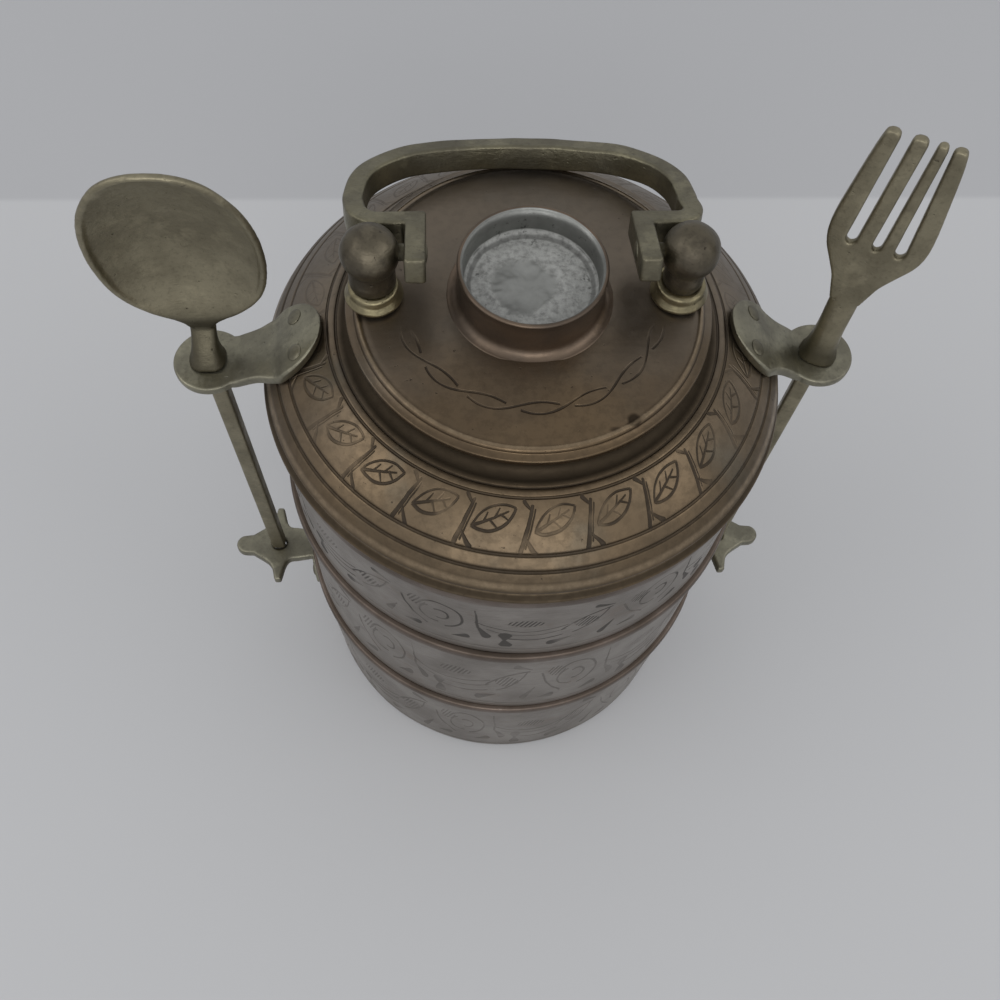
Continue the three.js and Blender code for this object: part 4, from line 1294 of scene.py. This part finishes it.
for (tier, seat, top, proud), look in zip(TIERS, WALL_LOOKS):
    dress(bowl(tier, seat, top, proud), tinned_wall(tier, seat, top, *look))

dress(lid_shell(), old_copper(
    "lid_copper_engraved", (0.2, 0.145, 0.09), (0.135, 0.101, 0.066),
    lid_band, neck_shade, LID_POLISH_AND_HIGHLIGHT,
))
dress(cap_shell(), old_copper(
    "cap_copper_engraved", (0.155, 0.109, 0.065), (0.115, 0.083, 0.053),
    cap_cable, dent_shade, CAP_POLISH_AND_HIGHLIGHT,
))
dress(cup_shell(), tinned_cup())

BRASSES = {
    "fitting_brass_olive": ((0.265, 0.25, 0.186), (0.18, 0.169, 0.13)),
    "worn_brass_yellow": ((0.3, 0.26, 0.155), (0.16, 0.138, 0.09), 0.5, 0.36),
    "bail_brass_olive": ((0.187, 0.171, 0.116), (0.131, 0.119, 0.086), 0.4),
    "post_brass_brown": ((0.13, 0.112, 0.08), (0.085, 0.073, 0.055), 0.5),
    "rivet_brass_dark": ((0.2, 0.185, 0.135), (0.13, 0.12, 0.09), 0.2, 0.46),
    # The spoon and fork rows end with the heights where the painted shade on the neck fades out.
    "spoon_brass": ((0.275, 0.246, 0.17), (0.2, 0.178, 0.123), 0.25, 0.42, (183.0, 191.0)),
    "fork_brass": ((0.275, 0.246, 0.17), (0.2, 0.178, 0.123), 0.25, 0.42, (173.0, 185.0)),
}
fitting, worn, bail_look, ball_look, rivet_look, spoon_look, fork_look = (
    cast_brass(name, *look) for name, look in BRASSES.items()
)

for side, sign in (("right", 1), ("left", -1)):
    ball, ring = post(side, sign * POST_X + POSTS_ASIDE)
    dress(ball, ball_look)
    dress(ring, worn)
    dress(pivot_pin(side, sign), rivet_look)
dress(bail(), bail_look)
for side in SIDES:
    for make in (bracket, lug):
        casting, heads = make(side)
        dress(casting, fitting)
        for head in heads:
            dress(head, rivet_look)
dress(spoon(), spoon_look)
dress(fork(), fork_look)


# Camera, floor and light. The camera was fitted to the photo's round edges.

CAMERA_PLACE = (-21.75, -155.57, 397.86)
CAMERA_DOWN, CAMERA_YAW, CAMERA_ROLL = 63.87, 6.93, 5.18
SENSOR = 36
FOCAL_SHARE = 1.02846


def camera():
    elevation, yaw, roll = map(math.radians, (CAMERA_DOWN, CAMERA_YAW, CAMERA_ROLL))
    forward = Vector((
        math.sin(yaw) * math.cos(elevation), math.cos(yaw) * math.cos(elevation),
        -math.sin(elevation),
    ))
    right = forward.cross(Vector((0, 0, 1))).normalized()
    up = right.cross(forward)
    right, up = (
        math.cos(roll) * right + math.sin(roll) * up,
        math.cos(roll) * up - math.sin(roll) * right,
    )
    data = bpy.data.cameras.new("photo_view")
    data.sensor_width = SENSOR
    data.lens = SENSOR * FOCAL_SHARE
    data.clip_start = 0.01
    view = bpy.data.objects.new("photo_view", data)
    view.matrix_world = moved(*CAMERA_PLACE) @ Matrix((right, up, -forward)).transposed().to_4x4()
    bpy.context.scene.collection.objects.link(view)
    bpy.context.scene.camera = view


def lamp(name, place, target, size, power):
    data = bpy.data.lights.new(name, "AREA")
    data.shape = "RECTANGLE"
    data.size, data.size_y = size
    data.energy = power
    light = bpy.data.objects.new(name, data)
    light.location = place
    light.rotation_mode = "QUATERNION"
    light.rotation_quaternion = (Vector(target) - Vector(place)).to_track_quat("-Z", "Y")
    bpy.context.scene.collection.objects.link(light)


def stage():
    reach, under = 4000.0, -0.4
    corners = [(x * reach, y * reach, under) for x, y in ((-1, -1), (1, -1), (1, 1), (-1, 1))]
    floor = made("floor", corners, [(0, 1, 2, 3)])
    f = Finish("pale_floor")
    _, y, _ = f.axes()
    back = f.ramped(y, 205.0, 209.0)
    colour = f.blend(back, (0.55, 0.552, 0.562), (0.47, 0.472, 0.485))
    dress(floor, f.closed(colour, 0.6, metallic=0.0))

    world = bpy.data.worlds.new("pale_room")
    world.use_nodes = True
    tree = world.node_tree
    tree.nodes.clear()
    background = tree.nodes.new("ShaderNodeBackground")
    background.inputs["Color"].default_value = (0.62, 0.628, 0.64, 1)
    end = tree.nodes.new("ShaderNodeOutputWorld")
    tree.links.new(background.outputs[0], end.inputs[0])
    bpy.context.scene.world = world

    lamp("front_window", (-0.15, -2.2, 1.35), (0, 0, 0.12), (2.2, 1.0), 15)
    lamp("left_window", (-2.0, -0.4, 1.7), (0, 0, 0.1), (1.8, 1.6), 9)
    lamp("right_window", (1.9, -0.6, 1.7), (0, 0, 0.1), (1.6, 1.4), 6)


camera()
stage()
bpy.context.scene.view_settings.view_transform = "Standard"
